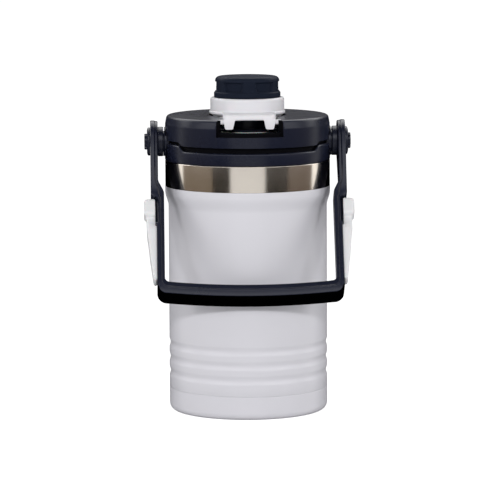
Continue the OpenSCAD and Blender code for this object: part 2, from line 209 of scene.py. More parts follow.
def add_turned(bm: bmesh.types.BMesh, rows: Sequence[Callable[[float], Point2]],
               segments: int = 192, closed: bool = True) -> None:
    """Adds a body turned about Z whose outline may change with the angle.

    Args:
        bm: the mesh to add to.
        rows: for each point of the outline, its radius and height at an angle.
        segments: vertices in each ring.
        closed: whether the outline closes on itself.
    """
    rings: list[list[bmesh.types.BMVert]] = []
    for row in rows:
        if abs(row(0.0)[0]) < 1e-6:
            rings.append([bm.verts.new((0, 0, row(0.0)[1]))])
            continue
        ring = []
        for i in range(segments):
            angle = TAU * i / segments
            radius, height = row(angle)
            ring.append(bm.verts.new((radius * math.cos(angle), radius * math.sin(angle), height)))
        rings.append(ring)
    for i in range(len(rings) if closed else len(rings) - 1):
        bridge(bm, rings[i], rings[(i + 1) % len(rings)])


def turned(name: str, outline: Sequence[Point2], segments: int = 192, closed: bool = True,
           sharp_deg: float = 34.0) -> bpy.types.Object:
    """Makes a body turned about the jug's axis.

    Args:
        name: the piece's name.
        outline: radius and height of each point.
        segments: vertices in each ring.
        closed: whether the outline closes on itself; an open one starts and ends on the axis.
        sharp_deg: edges that turn by more than this stay sharp.

    Returns:
        The new object.
    """
    bm = bmesh.new()
    add_turned(bm, [lambda _angle, point=point: point for point in outline], segments, closed)
    return mesh_object(name, bm, sharp_deg)


def add_turned_on_x(bm: bmesh.types.BMesh, outline: Sequence[Point2], height: float,
                    side: int, segments: int = 96, closed: bool = True) -> None:
    """Adds a body turned about the bail's pivot axis.

    Args:
        bm: the mesh to add to.
        outline: radius and distance from the jug's axis of each point.
        height: the pivot's height.
        side: 1 for the right, -1 for the left.
        segments: vertices in each ring.
        closed: whether the outline closes on itself.
    """
    part = bmesh.new()
    add_turned(part, [lambda _angle, point=point: point for point in outline], segments, closed)
    turn = Matrix.Rotation(side * math.pi / 2, 4, "Y")
    part.transform(Matrix.Translation((0, 0, height)) @ turn)
    copy_into(bm, part)


def copy_into(bm: bmesh.types.BMesh, part: bmesh.types.BMesh) -> None:
    """Adds one bmesh to another and frees it."""
    scratch = bpy.data.meshes.new("scratch")
    part.to_mesh(scratch)
    part.free()
    bm.from_mesh(scratch)
    bpy.data.meshes.remove(scratch)


def add_prism(bm: bmesh.types.BMesh, outline: Sequence[Point2], low: float, high: float,
              place: Callable[[float, float, float], Vector]) -> None:
    """Adds a straight prism over an outline.

    Args:
        bm: the mesh to add to.
        outline: the outline's points.
        low: one end of the prism.
        high: its other end.
        place: turns outline x, outline y and the height along the prism into a point.
    """
    rings = [[bm.verts.new(place(x, y, level)) for x, y in outline] for level in (low, high)]
    bridge(bm, rings[0], rings[1])
    bm.faces.new(rings[0])
    bm.faces.new(rings[1])


def add_loft(bm: bmesh.types.BMesh, sections: Sequence[Sequence[Vector]]) -> None:
    """Adds a closed body through ring-shaped sections, with a flat cap at each end."""
    rings = [[bm.verts.new(point) for point in section] for section in sections]
    for a, b in zip(rings, rings[1:]):
        bridge(bm, a, b)
    bm.faces.new(rings[0])
    bm.faces.new(rings[-1])


def modify(piece: bpy.types.Object, kind: str, **settings: object) -> None:
    """Adds a modifier to a piece and applies it.

    Args:
        piece: the object.
        kind: the modifier's type.
        settings: its properties.
    """
    modifier = piece.modifiers.new(kind.lower(), kind)
    for key, value in settings.items():
        setattr(modifier, key, value)
    depsgraph = bpy.context.evaluated_depsgraph_get()
    result = bpy.data.meshes.new_from_object(piece.evaluated_get(depsgraph), depsgraph=depsgraph)
    piece.modifiers.clear()
    old = piece.data
    piece.data = result
    bpy.data.meshes.remove(old)


def discard(piece: bpy.types.Object) -> None:
    """Removes an object and its mesh."""
    mesh = piece.data
    bpy.data.objects.remove(piece)
    bpy.data.meshes.remove(mesh)


def cut(piece: bpy.types.Object, cutter: bpy.types.Object, keep: bool = False) -> None:
    """Takes a cutter's solid out of a piece.

    Args:
        piece: the object that is cut.
        cutter: the solid to take out.
        keep: whether the cutter stays for another cut.
    """
    modify(piece, "BOOLEAN", operation="DIFFERENCE", object=cutter, solver="EXACT")
    if not keep:
        discard(cutter)


def soften(piece: bpy.types.Object, width: float, segments: int = 2, angle_deg: float = 32.0) -> None:
    """Rounds a piece's sharp edges.

    Args:
        piece: the object.
        width: the rounding's width, in millimetres.
        segments: faces across the rounding.
        angle_deg: edges that turn by less than this are left.
    """
    modify(piece, "BEVEL", width=width * MM, segments=segments, limit_method="ANGLE",
           angle_limit=math.radians(angle_deg), use_clamp_overlap=True, harden_normals=False,
           miter_outer="MITER_ARC")
    bm = bmesh.new()
    bm.from_mesh(piece.data)
    limit = math.radians(38)
    for edge in bm.edges:
        edge.smooth = len(edge.link_faces) != 2 or edge.calc_face_angle(0.0) < limit
    for face in bm.faces:
        face.smooth = True
    bm.to_mesh(piece.data)
    bm.free()


# ---------------------------------------------------------------------------
# Shader groups
# ---------------------------------------------------------------------------


class SurfaceGroup(Enum):
    """The shader effects that several finishes share."""

    GRAIN = "moulded_grain"
    BRUSHING = "brushed_lines"
    HANDLING = "handling_marks"


class NodeBuilder:
    """Adds nodes to a node tree in one call each."""

    def __init__(self, tree: bpy.types.NodeTree) -> None:
        """Keeps the tree that nodes are added to."""
        self.tree = tree

    def add(self, kind: str, settings: Optional[dict] = None, **inputs: object) -> bpy.types.Node:
        """Adds a node.

        Args:
            kind: the node's type, without its ShaderNode prefix.
            settings: properties of the node.
            inputs: a value or an output socket for each input, by name with underscores for spaces.

        Returns:
            The node.
        """
        node = self.tree.nodes.new("ShaderNode" + kind)
        for key, value in (settings or {}).items():
            setattr(node, key, value)
        for key, value in inputs.items():
            socket = node.inputs[int(key[1:])] if key[0] == "i" and key[1:].isdigit() \
                else node.inputs[key.replace("_", " ")]
            if isinstance(value, bpy.types.NodeSocket):
                self.tree.links.new(value, socket)
            else:
                socket.default_value = value
        return node

    def math(self, operation: str, a: object, b: object = 0.0, clamp: bool = False) -> bpy.types.NodeSocket:
        """Adds a Math node and returns its output."""
        return self.add("Math", {"operation": operation, "use_clamp": clamp}, i0=a, i1=b).outputs[0]

    def spread(self, value: object, low: float, high: float) -> bpy.types.NodeSocket:
        """Maps 0 to 1 onto low to high."""
        return self.add("MapRange", None, Value=value, To_Min=low, To_Max=high).outputs[0]


def new_group(kind: SurfaceGroup, inputs: dict[str, float], outputs: Sequence[str]
              ) -> tuple[bpy.types.NodeTree, NodeBuilder, bpy.types.Node, bpy.types.Node]:
    """Starts a shader node group with named sockets.

    Args:
        kind: which effect it is.
        inputs: each input's name and default.
        outputs: the names of the outputs.

    Returns:
        The tree, its builder, and its input and output nodes.
    """
    tree = bpy.data.node_groups.new(kind.value, "ShaderNodeTree")
    for name, value in inputs.items():
        socket = tree.interface.new_socket(name, in_out="INPUT", socket_type="NodeSocketFloat")
        socket.default_value = value
    for name in outputs:
        tree.interface.new_socket(name, in_out="OUTPUT", socket_type="NodeSocketFloat")
    builder = NodeBuilder(tree)
    start, end = tree.nodes.new("NodeGroupInput"), tree.nodes.new("NodeGroupOutput")
    return tree, builder, start, end


def build_grain_group() -> bpy.types.NodeTree:
    """Fine moulded or sprayed grain: a height, and a tone that varies slowly.

    Returns:
        The node group.
    """
    tree, nodes, start, end = new_group(
        SurfaceGroup.GRAIN, {"Scale": 900.0, "Softness": 0.5, "Blotch": 40.0}, ["Height", "Tone"])
    place = nodes.add("TexCoord").outputs["Object"]
    fine = nodes.add("TexNoise", None, Vector=place, Scale=start.outputs["Scale"], Detail=3.0,
                     Roughness=start.outputs["Softness"]).outputs[0]
    cells = nodes.add("TexVoronoi", {"feature": "SMOOTH_F1"}, Vector=place,
                      Scale=start.outputs["Scale"]).outputs["Distance"]
    height = nodes.math("ADD", nodes.math("MULTIPLY", fine, 0.7), nodes.math("MULTIPLY", cells, 0.3))
    tone = nodes.add("TexNoise", None, Vector=place, Scale=start.outputs["Blotch"], Detail=4.0,
                     Roughness=0.6).outputs[0]
    tree.links.new(height, end.inputs["Height"])
    tree.links.new(tone, end.inputs["Tone"])
    return tree


def build_brushing_group() -> bpy.types.NodeTree:
    """Lines brushed round the jug's axis: a height and a streak value.

    Returns:
        The node group.
    """
    tree, nodes, start, end = new_group(
        SurfaceGroup.BRUSHING, {"Lines": 1400.0, "Length": 6.0}, ["Height", "Streak"])
    place = nodes.add("SeparateXYZ", None, Vector=nodes.add("TexCoord").outputs["Object"])
    angle = nodes.math("ARCTAN2", place.outputs["Y"], place.outputs["X"])
    around_x = nodes.math("MULTIPLY", nodes.math("COSINE", angle), start.outputs["Length"])
    around_y = nodes.math("MULTIPLY", nodes.math("SINE", angle), start.outputs["Length"])
    up = nodes.math("MULTIPLY", place.outputs["Z"], start.outputs["Lines"])
    lines_at = nodes.add("CombineXYZ", None, X=around_x, Y=around_y, Z=up).outputs[0]
    lines = nodes.add("TexNoise", None, Vector=lines_at, Scale=1.0, Detail=3.0, Roughness=0.65).outputs[0]
    wide_at = nodes.add("CombineXYZ", None, X=around_x, Y=around_y,
                        Z=nodes.math("MULTIPLY", up, 0.12)).outputs[0]
    wide = nodes.add("TexNoise", None, Vector=wide_at, Scale=1.0, Detail=2.0, Roughness=0.5).outputs[0]
    tree.links.new(lines, end.inputs["Height"])
    tree.links.new(nodes.math("ADD", nodes.math("MULTIPLY", lines, 0.5), nodes.math("MULTIPLY", wide, 0.5)),
                   end.inputs["Streak"])
    return tree


def build_handling_group() -> bpy.types.NodeTree:
    """Faint smudges, fine scuffs and a little dust on faces that look up.

    Returns:
        The node group.
    """
    tree, nodes, start, end = new_group(
        SurfaceGroup.HANDLING, {"Smudges": 14.0, "Scuffs": 220.0}, ["Smudge", "Scuff", "Dust"])
    place = nodes.add("TexCoord").outputs["Object"]
    cloud = nodes.add("TexNoise", None, Vector=place, Scale=start.outputs["Smudges"], Detail=5.0,
                      Roughness=0.62, Distortion=0.6).outputs[0]
    smudge = nodes.add("MapRange", {"clamp": True}, Value=cloud, From_Min=0.42, From_Max=0.72).outputs[0]
    stretched = nodes.add("Mapping", None, Vector=place, Rotation=(0.4, 0.7, 0.2),
                          Scale=(1.0, 0.16, 0.5)).outputs[0]
    scratch = nodes.add("TexNoise", None, Vector=stretched, Scale=start.outputs["Scuffs"], Detail=2.0,
                        Roughness=0.5).outputs[0]
    scuff = nodes.add("MapRange", {"clamp": True}, Value=scratch, From_Min=0.68, From_Max=0.8).outputs[0]
    up = nodes.add("SeparateXYZ", None, Vector=nodes.add("NewGeometry").outputs["Normal"]).outputs["Z"]
    dust = nodes.math("MULTIPLY", nodes.math("MULTIPLY", up, smudge), 1.0, clamp=True)
    tree.links.new(smudge, end.inputs["Smudge"])
    tree.links.new(scuff, end.inputs["Scuff"])
    tree.links.new(dust, end.inputs["Dust"])
    return tree


GROUP_BUILDERS: dict[SurfaceGroup, Callable[[], bpy.types.NodeTree]] = {
    SurfaceGroup.GRAIN: build_grain_group,
    SurfaceGroup.BRUSHING: build_brushing_group,
    SurfaceGroup.HANDLING: build_handling_group,
}
group_trees: dict[SurfaceGroup, bpy.types.NodeTree] = {}


def place_group(nodes: NodeBuilder, kind: SurfaceGroup, **values: float) -> bpy.types.Node:
    """Places a shared effect in a material.

    Args:
        nodes: the material's builder.
        kind: which effect.
        values: the values of its inputs.

    Returns:
        The group node.
    """
    if kind not in group_trees:
        group_trees[kind] = GROUP_BUILDERS[kind]()
    node = nodes.tree.nodes.new("ShaderNodeGroup")
    node.node_tree = group_trees[kind]
    for name, value in values.items():
        node.inputs[name].default_value = value
    return node


# ---------------------------------------------------------------------------
# Finishes
# ---------------------------------------------------------------------------

Colour = tuple[float, float, float]


def linear(red: int, green: int, blue: int) -> Colour:
    """Turns a display colour from 0 to 255 into linear light."""
    def channel(value: int) -> float:
        """One channel of the colour."""
        v = value / 255
        return v / 12.92 if v <= 0.04045 else ((v + 0.055) / 1.055) ** 2.4
    return channel(red), channel(green), channel(blue)


def start_material(name: str) -> tuple[bpy.types.Material, NodeBuilder, bpy.types.Node]:
    """Starts a material with a Principled shader.

    Args:
        name: the material's name.

    Returns:
        The material, its builder and its shader.
    """
    material = bpy.data.materials.new(name)
    material.use_nodes = True
    material.node_tree.nodes.clear()
    nodes = NodeBuilder(material.node_tree)
    shader = nodes.add("BsdfPrincipled")
    output = nodes.add("OutputMaterial")
    material.node_tree.links.new(shader.outputs[0], output.inputs["Surface"])
    return material, nodes, shader


def mix_colours(nodes: NodeBuilder, share: object, first: Colour, second: object) -> bpy.types.NodeSocket:
    """Blends two colours.

    Args:
        nodes: the material's builder.
        share: how much of the second.
        first: the first colour.
        second: the second colour, or a socket with it.

    Returns:
        The blended colour's socket.
    """
    node = nodes.add("Mix", {"data_type": "RGBA"})
    link = nodes.tree.links.new
    if isinstance(share, bpy.types.NodeSocket):
        link(share, node.inputs["Factor"])
    else:
        node.inputs["Factor"].default_value = share
    for socket, value in zip([s for s in node.inputs if s.type == "RGBA"], (first, second)):
        if isinstance(value, bpy.types.NodeSocket):
            link(value, socket)
        else:
            socket.default_value = (*value, 1.0)
    return next(s for s in node.outputs if s.type == "RGBA")


def scaled(colour: Colour, factor: float) -> Colour:
    """A colour made lighter or darker."""
    return tuple(min(1.0, c * factor) for c in colour)


@dataclass(frozen=True)
class MouldedFinish:
    """A moulded plastic, rubber, foam or sprayed coat with a fine grain."""

    name: str
    colour: Colour
    roughness: float
    grain_scale: float = 1500.0
    grain_depth: float = 0.02
    tone_spread: float = 0.06
    smudges: float = 0.06
    scuff_light: float = 1.25
    dust: float = 0.03
    specular: float = 0.5
    coat: float = 0.0
    subsurface: float = 0.0
    sheen: float = 0.0

    def build(self) -> bpy.types.Material:
        """Builds the material.

        Returns:
            The material.
        """
        material, nodes, shader = start_material(self.name)
        link = nodes.tree.links.new
        grain = place_group(nodes, SurfaceGroup.GRAIN, Scale=self.grain_scale, Softness=0.55, Blotch=34.0)
        marks = place_group(nodes, SurfaceGroup.HANDLING, Smudges=13.0, Scuffs=240.0)
        base = mix_colours(nodes, grain.outputs["Tone"], scaled(self.colour, 1 - self.tone_spread),
                           scaled(self.colour, 1 + self.tone_spread))
        scuffed = mix_colours(nodes, nodes.math("MULTIPLY", marks.outputs["Scuff"], 0.35), self.colour,
                              scaled(self.colour, self.scuff_light))
        worn = nodes.add("Mix", {"data_type": "RGBA"})
        colours = [s for s in worn.inputs if s.type == "RGBA"]
        link(nodes.math("MULTIPLY", marks.outputs["Scuff"], 0.5), worn.inputs["Factor"])
        link(base, colours[0])
        link(scuffed, colours[1])
        dusty = nodes.add("Mix", {"data_type": "RGBA"})
        colours = [s for s in dusty.inputs if s.type == "RGBA"]
        link(nodes.math("MULTIPLY", marks.outputs["Dust"], self.dust), dusty.inputs["Factor"])
        link(next(s for s in worn.outputs if s.type == "RGBA"), colours[0])
        colours[1].default_value = (0.55, 0.54, 0.52, 1)
        link(next(s for s in dusty.outputs if s.type == "RGBA"), shader.inputs["Base Color"])
        rough = nodes.math("ADD", nodes.spread(grain.outputs["Height"], self.roughness - 0.03,
                                               self.roughness + 0.03),
                           nodes.math("MULTIPLY", marks.outputs["Smudge"], self.smudges), clamp=True)
        link(rough, shader.inputs["Roughness"])
        bump = nodes.add("Bump", None, Strength=1.0, Distance=self.grain_depth * MM,
                         Height=grain.outputs["Height"])
        link(bump.outputs[0], shader.inputs["Normal"])
        shader.inputs["Specular IOR Level"].default_value = self.specular
        shader.inputs["Coat Weight"].default_value = self.coat
        shader.inputs["Coat Roughness"].default_value = 0.35
        shader.inputs["Subsurface Weight"].default_value = self.subsurface
        shader.inputs["Subsurface Scale"].default_value = 0.002
        shader.inputs["Sheen Weight"].default_value = self.sheen
        material.diffuse_color = (*self.colour, 1)
        return material


@dataclass(frozen=True)
class SteelFinish:
    """Stainless steel, brushed or turned round the jug's axis."""

    name: str
    colour: Colour
    roughness: float
    lines: float = 1500.0
    length: float = 5.0
    depth: float = 0.004
    anisotropy: float = 0.6
    streak_spread: float = 0.07

    def build(self) -> bpy.types.Material:
        """Builds the material.

        Returns:
            The material.
        """
        material, nodes, shader = start_material(self.name)
        link = nodes.tree.links.new
        brushing = place_group(nodes, SurfaceGroup.BRUSHING, Lines=self.lines, Length=self.length)
        marks = place_group(nodes, SurfaceGroup.HANDLING, Smudges=18.0, Scuffs=300.0)
        base = mix_colours(nodes, brushing.outputs["Streak"], scaled(self.colour, 1 - self.streak_spread),
                           scaled(self.colour, 1 + self.streak_spread))
        link(base, shader.inputs["Base Color"])
        rough = nodes.math("ADD", nodes.spread(brushing.outputs["Height"], self.roughness - 0.05,
                                               self.roughness + 0.05),
                           nodes.math("MULTIPLY", marks.outputs["Smudge"], 0.05), clamp=True)
        link(rough, shader.inputs["Roughness"])
        bump = nodes.add("Bump", None, Strength=1.0, Distance=self.depth * MM,
                         Height=brushing.outputs["Height"])
        link(bump.outputs[0], shader.inputs["Normal"])
        tangent = nodes.add("Tangent", {"direction_type": "RADIAL", "axis": "Z"})
        link(tangent.outputs[0], shader.inputs["Tangent"])
        shader.inputs["Metallic"].default_value = 1.0
        shader.inputs["Anisotropic"].default_value = self.anisotropy
        shader.inputs["Anisotropic Rotation"].default_value = 0.25
        material.diffuse_color = (*self.colour, 1)
        return material


@dataclass(frozen=True)
class Palette:
    """Every finish on the jug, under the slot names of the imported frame."""

    powder_coat: MouldedFinish = MouldedFinish(
        "powder_coat", linear(210, 209, 215), 0.3, grain_scale=2600.0, grain_depth=0.03,
        tone_spread=0.012, smudges=0.05, scuff_light=0.9, dust=0.0, specular=0.4)
    brushed_steel: SteelFinish = SteelFinish("brushed_steel", (0.71, 0.655, 0.59), 0.15)
    plain_steel: SteelFinish = SteelFinish(
        "plain_steel", (0.66, 0.65, 0.64), 0.32, lines=900.0, length=3.0, anisotropy=0.4)
    navy_plastic: MouldedFinish = MouldedFinish(
        "navy_plastic", linear(22, 25, 39), 0.27, grain_scale=1900.0, grain_depth=0.03, tone_spread=0.05,
        scuff_light=1.7, dust=0.004, specular=0.24)
    cap_plastic: MouldedFinish = MouldedFinish(
        "cap_plastic", linear(26, 31, 43), 0.38, grain_scale=1900.0, grain_depth=0.035, tone_spread=0.05,
        scuff_light=1.7, dust=0.004, specular=0.03)
    # Near-black navy whose colour is painted shade: it goes on the lid's faces inside the well, the notch and the
    # gap under the shell, where the navy plastic lies in shade.
    recess_plastic: MouldedFinish = MouldedFinish(
        "recess_plastic", linear(6, 6, 9), 0.65, grain_scale=1400.0, grain_depth=0.05, tone_spread=0.08,
        scuff_light=1.5, dust=0.0, specular=0.04)
    white_plastic: MouldedFinish = MouldedFinish(
        "white_plastic", linear(222, 221, 225), 0.38, grain_scale=1700.0, grain_depth=0.02,
        tone_spread=0.01, scuff_light=0.93, dust=0.0, subsurface=0.05)
    hook_plastic: MouldedFinish = MouldedFinish(
        "hook_plastic", linear(222, 222, 224), 0.42, grain_scale=1700.0, grain_depth=0.025,
        tone_spread=0.012, scuff_light=0.92, dust=0.0, subsurface=0.05)
    # On the grip pad this near-black with no specular is painted shade: it stands in for the shade on the grip's
    # downward-facing outer face.
    black_rubber: MouldedFinish = MouldedFinish(
        "black_rubber", linear(1, 1, 1), 0.8, grain_scale=1300.0, grain_depth=0.06, tone_spread=0.1,
        scuff_light=1.8, dust=0.0, specular=0.0)
    clear_silicone: MouldedFinish = MouldedFinish(
        "clear_silicone", linear(222, 222, 216), 0.34, grain_scale=1200.0, grain_depth=0.015,
        tone_spread=0.02, scuff_light=0.95, dust=0.0, subsurface=0.3)
    foam: MouldedFinish = MouldedFinish(
        "foam", linear(238, 233, 214), 0.9, grain_scale=500.0, grain_depth=0.3, tone_spread=0.04,
        scuff_light=0.9, specular=0.2)


class Workshop:
    """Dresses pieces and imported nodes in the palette's finishes and sets them riding."""

    def __init__(self, palette: Palette) -> None:
        """Starts with a palette and no material built yet."""
        self.palette = palette
        self.materials: dict[str, bpy.types.Material] = {}
        self.slot_of = {s["node"]: s["material_slot"] for s in frame["record"]["subparts"]}
        self.body_of = {node: body for body, nodes in frame["record"]["behaviour"]["bodies"].items()
                        for node in nodes}

    def material(self, slot: str) -> bpy.types.Material:
        """The material of a slot, built on first use."""
        if slot not in self.materials:
            self.materials[slot] = getattr(self.palette, slot).build()
        return self.materials[slot]

    def dress(self, piece: bpy.types.Object, slot: str) -> None:
        """Gives a piece its only material."""
        piece.data.materials.clear()
        piece.data.materials.append(self.material(slot))

    def stand_for(self, piece: bpy.types.Object, node: str) -> None:
        """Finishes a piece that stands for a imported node.

        Args:
            piece: the new object.
            node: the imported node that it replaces.
        """
        slot = self.slot_of[node]
        self.dress(piece, slot)
        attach(piece, self.body_of[node])
        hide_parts(node)
        log.info("%s stands for %s on %s in %s", piece.name, node, self.body_of[node], slot)

    def line(self, piece: bpy.types.Object, slot: str, test: Callable[[Vector, Vector], bool]) -> None:
        """Gives some of a piece's faces a second material.

        Args:
            piece: the object.
            slot: the second material's name.
            test: says from a face's middle, in millimetres, and its normal whether it takes it.
        """
        piece.data.materials.append(self.material(slot))
        for face in piece.data.polygons:
            face.material_index = int(test(face.center / MM, face.normal))

    def keep(self, node: str) -> None:
        """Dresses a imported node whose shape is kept."""
        piece = frame["nodes"][node]
        slot = self.slot_of[node]
        if piece.data.materials:
            for index in range(len(piece.data.materials)):
                piece.data.materials[index] = self.material(slot)
        else:
            piece.data.materials.append(self.material(slot))
        log.info("%s kept in %s", node, slot)


# ---------------------------------------------------------------------------
# Flask
# ---------------------------------------------------------------------------


@dataclass
class Flask:
    """The double-walled steel vessel with its painted shell, bare band and foot."""

    shop: Workshop
    wall: float = 1.0
    groove_count: int = 3
    groove_low: float = 32.0
    groove_pitch: float = 11.6
    groove_depth: float = 0.95
    groove_half: float = 3.9
    flare_low: float = 166.2
    flare_high: float = 178.0
    coat_edge: float = 0.35
    corner: float = 7.4
    seam: float = 19.0
    seam_gap: float = 0.03
    foot: float = 52.0
    recess: float = 2.0
    fit: float = 0.05
    coat: float = 0.9
    shoulder: float = 203.2
    neck: float = 58.0
    shell: NodeBox = field(default_factory=lambda: NodeBox.of("outer_shell"))
    cup: NodeBox = field(default_factory=lambda: NodeBox.of("base_cup"))
    band: NodeBox = field(default_factory=lambda: NodeBox.of("steel_band"))
    thread: NodeBox = field(default_factory=lambda: NodeBox.of("neck_thread"))
    thread_pitch: float = 4.0

    def shell_radius(self, height: float) -> float:
        """Outer radius of the painted shell at a height.

        Args:
            height: the height above the foot.

        Returns:
            The radius, with the grooves and the flare.
        """
        body, top = self.cup.radius, self.shell.radius
        radius = body + (top - body) * smoothstep(self.flare_low, self.flare_high, height)
        for i in range(self.groove_count):
            offset = abs(height - self.groove_low - i * self.groove_pitch)
            if offset < self.groove_half:
                radius -= self.groove_depth * math.cos(offset / self.groove_half * math.pi / 2) ** 1.5
        return radius

    def build_shell(self) -> None:
        """The painted shell, as a thin wall with a rounded edge of coat at its top."""
        low, high = self.seam + self.seam_gap, self.shell.high.z
        heights = [low + 0.3]
        for i in range(self.groove_count):
            middle = self.groove_low + i * self.groove_pitch
            heights += [h for h in spaced(middle - self.groove_half, middle + self.groove_half, 20)
                        if h > heights[-1] + 0.05]
        heights += spaced(self.groove_low + self.groove_count * self.groove_pitch, self.flare_low - 2, 8)
        heights += spaced(self.flare_low - 1, self.flare_high, 22)
        outer = [(self.shell_radius(h), h) for h in heights]
        top = self.shell.radius
        edge = fillet([(top, self.flare_high + 1, 0), (top, high, self.coat_edge),
                       (top - 0.5, high, 0.05), (top - self.wall, high - 0.2, 0)], closed=False)
        inner = [(r - self.wall, h) for r, h in reversed(outer)]
        lip = [(self.cup.radius - 0.18, low), (self.cup.radius - self.wall, low)]
        outline = [lip[0]] + outer + edge + inner + [lip[1]]
        self.shop.stand_for(turned("painted_shell", outline, 256), "outer_shell")

    def build_cup(self) -> None:
        """The bottom cup with its round corner and raised underside."""
        radius, seam, top = self.cup.radius, self.seam - self.seam_gap, self.cup.high.z
        foot, recess, inside = self.foot, self.recess, self.cup.radius - 2 * self.wall
        tongue = radius - self.wall - self.fit
        outline = fillet([
            (0, recess, 0), (foot, recess, 0.3), (foot, 0, 0.6), (radius, 0, self.corner),
            (radius, seam, 0.3), (tongue, seam, 0.05), (tongue, top, 0.1), (inside, top, 0.1),
            (inside, 2 * self.wall, self.corner - 2), (foot + 1, 2 * self.wall, 0.3),
            (foot, recess + self.wall, 0), (0, recess + self.wall, 0)], steps=10)
        self.shop.stand_for(turned("bottom_cup", outline, 256, closed=False), "base_cup")

    def build_band(self) -> None:
        """The bare brushed band, the shoulder over it and the outer wall of the neck."""
        radius, low, high = self.band.radius, self.band.low.z, self.band.high.z
        shoulder, neck, paint = self.shoulder, self.neck, self.shell.high.z + self.fit
        under, skin, ceiling = radius - self.coat, radius - self.wall - self.coat, self.shoulder - 1.5
        outline = fillet([
            (under, low, 0.1), (under, paint, 0.05), (radius, paint, 0.15),
            (radius, shoulder, 0.35), (neck, shoulder, 2.0), (neck, high, 0.2),
            (neck - self.wall, high, 0.2), (neck - self.wall, ceiling, 1.0),
            (skin, ceiling, 1.5), (skin, low, 0.1)], steps=8)
        piece = turned("brushed_band", outline, 256)
        self.shop.stand_for(piece, "steel_band")

    def build_thread(self) -> None:
        """The neck's screw thread, about two turns with run-outs."""
        low, high = self.thread.low.z, self.thread.high.z
        bore, root, crest = self.neck + self.fit, self.neck + 0.5, self.thread.radius
        heights = spaced(low, high, 72)

        def row(height: float) -> Callable[[float], Point2]:
            """Outline point of the outer face at a height."""
            def at(angle: float) -> Point2:
                """Radius with the ridge where the helix passes."""
                turns = (height - low - 1.6) / self.thread_pitch - angle / TAU
                offset = abs(turns - round(turns)) * self.thread_pitch
                along = round(turns) + angle / TAU
                fade = smoothstep(0.0, 0.12, along) * (1 - smoothstep(2.0, 2.12, along))
                ridge = (1 - smoothstep(0.45, 1.0, offset)) * fade
                return root + (crest - root) * ridge, height
            return at

        rows: list[Callable[[float], Point2]] = [row(h) for h in heights]
        rows += [lambda _a, h=h: (bore, h) for h in (high, low)]
        bm = bmesh.new()
        add_turned(bm, rows, 256)
        self.shop.stand_for(mesh_object("neck_screw_thread", bm, 60), "neck_thread")

    def build(self) -> None:
        """Builds every piece of the flask."""
        self.build_shell()
        self.build_cup()
        self.build_band()
        self.build_thread()
        for node in ("foot_pad", "getter_cap", "inner_flask"):
            self.shop.keep(node)


# ---------------------------------------------------------------------------
# Lid
# ---------------------------------------------------------------------------


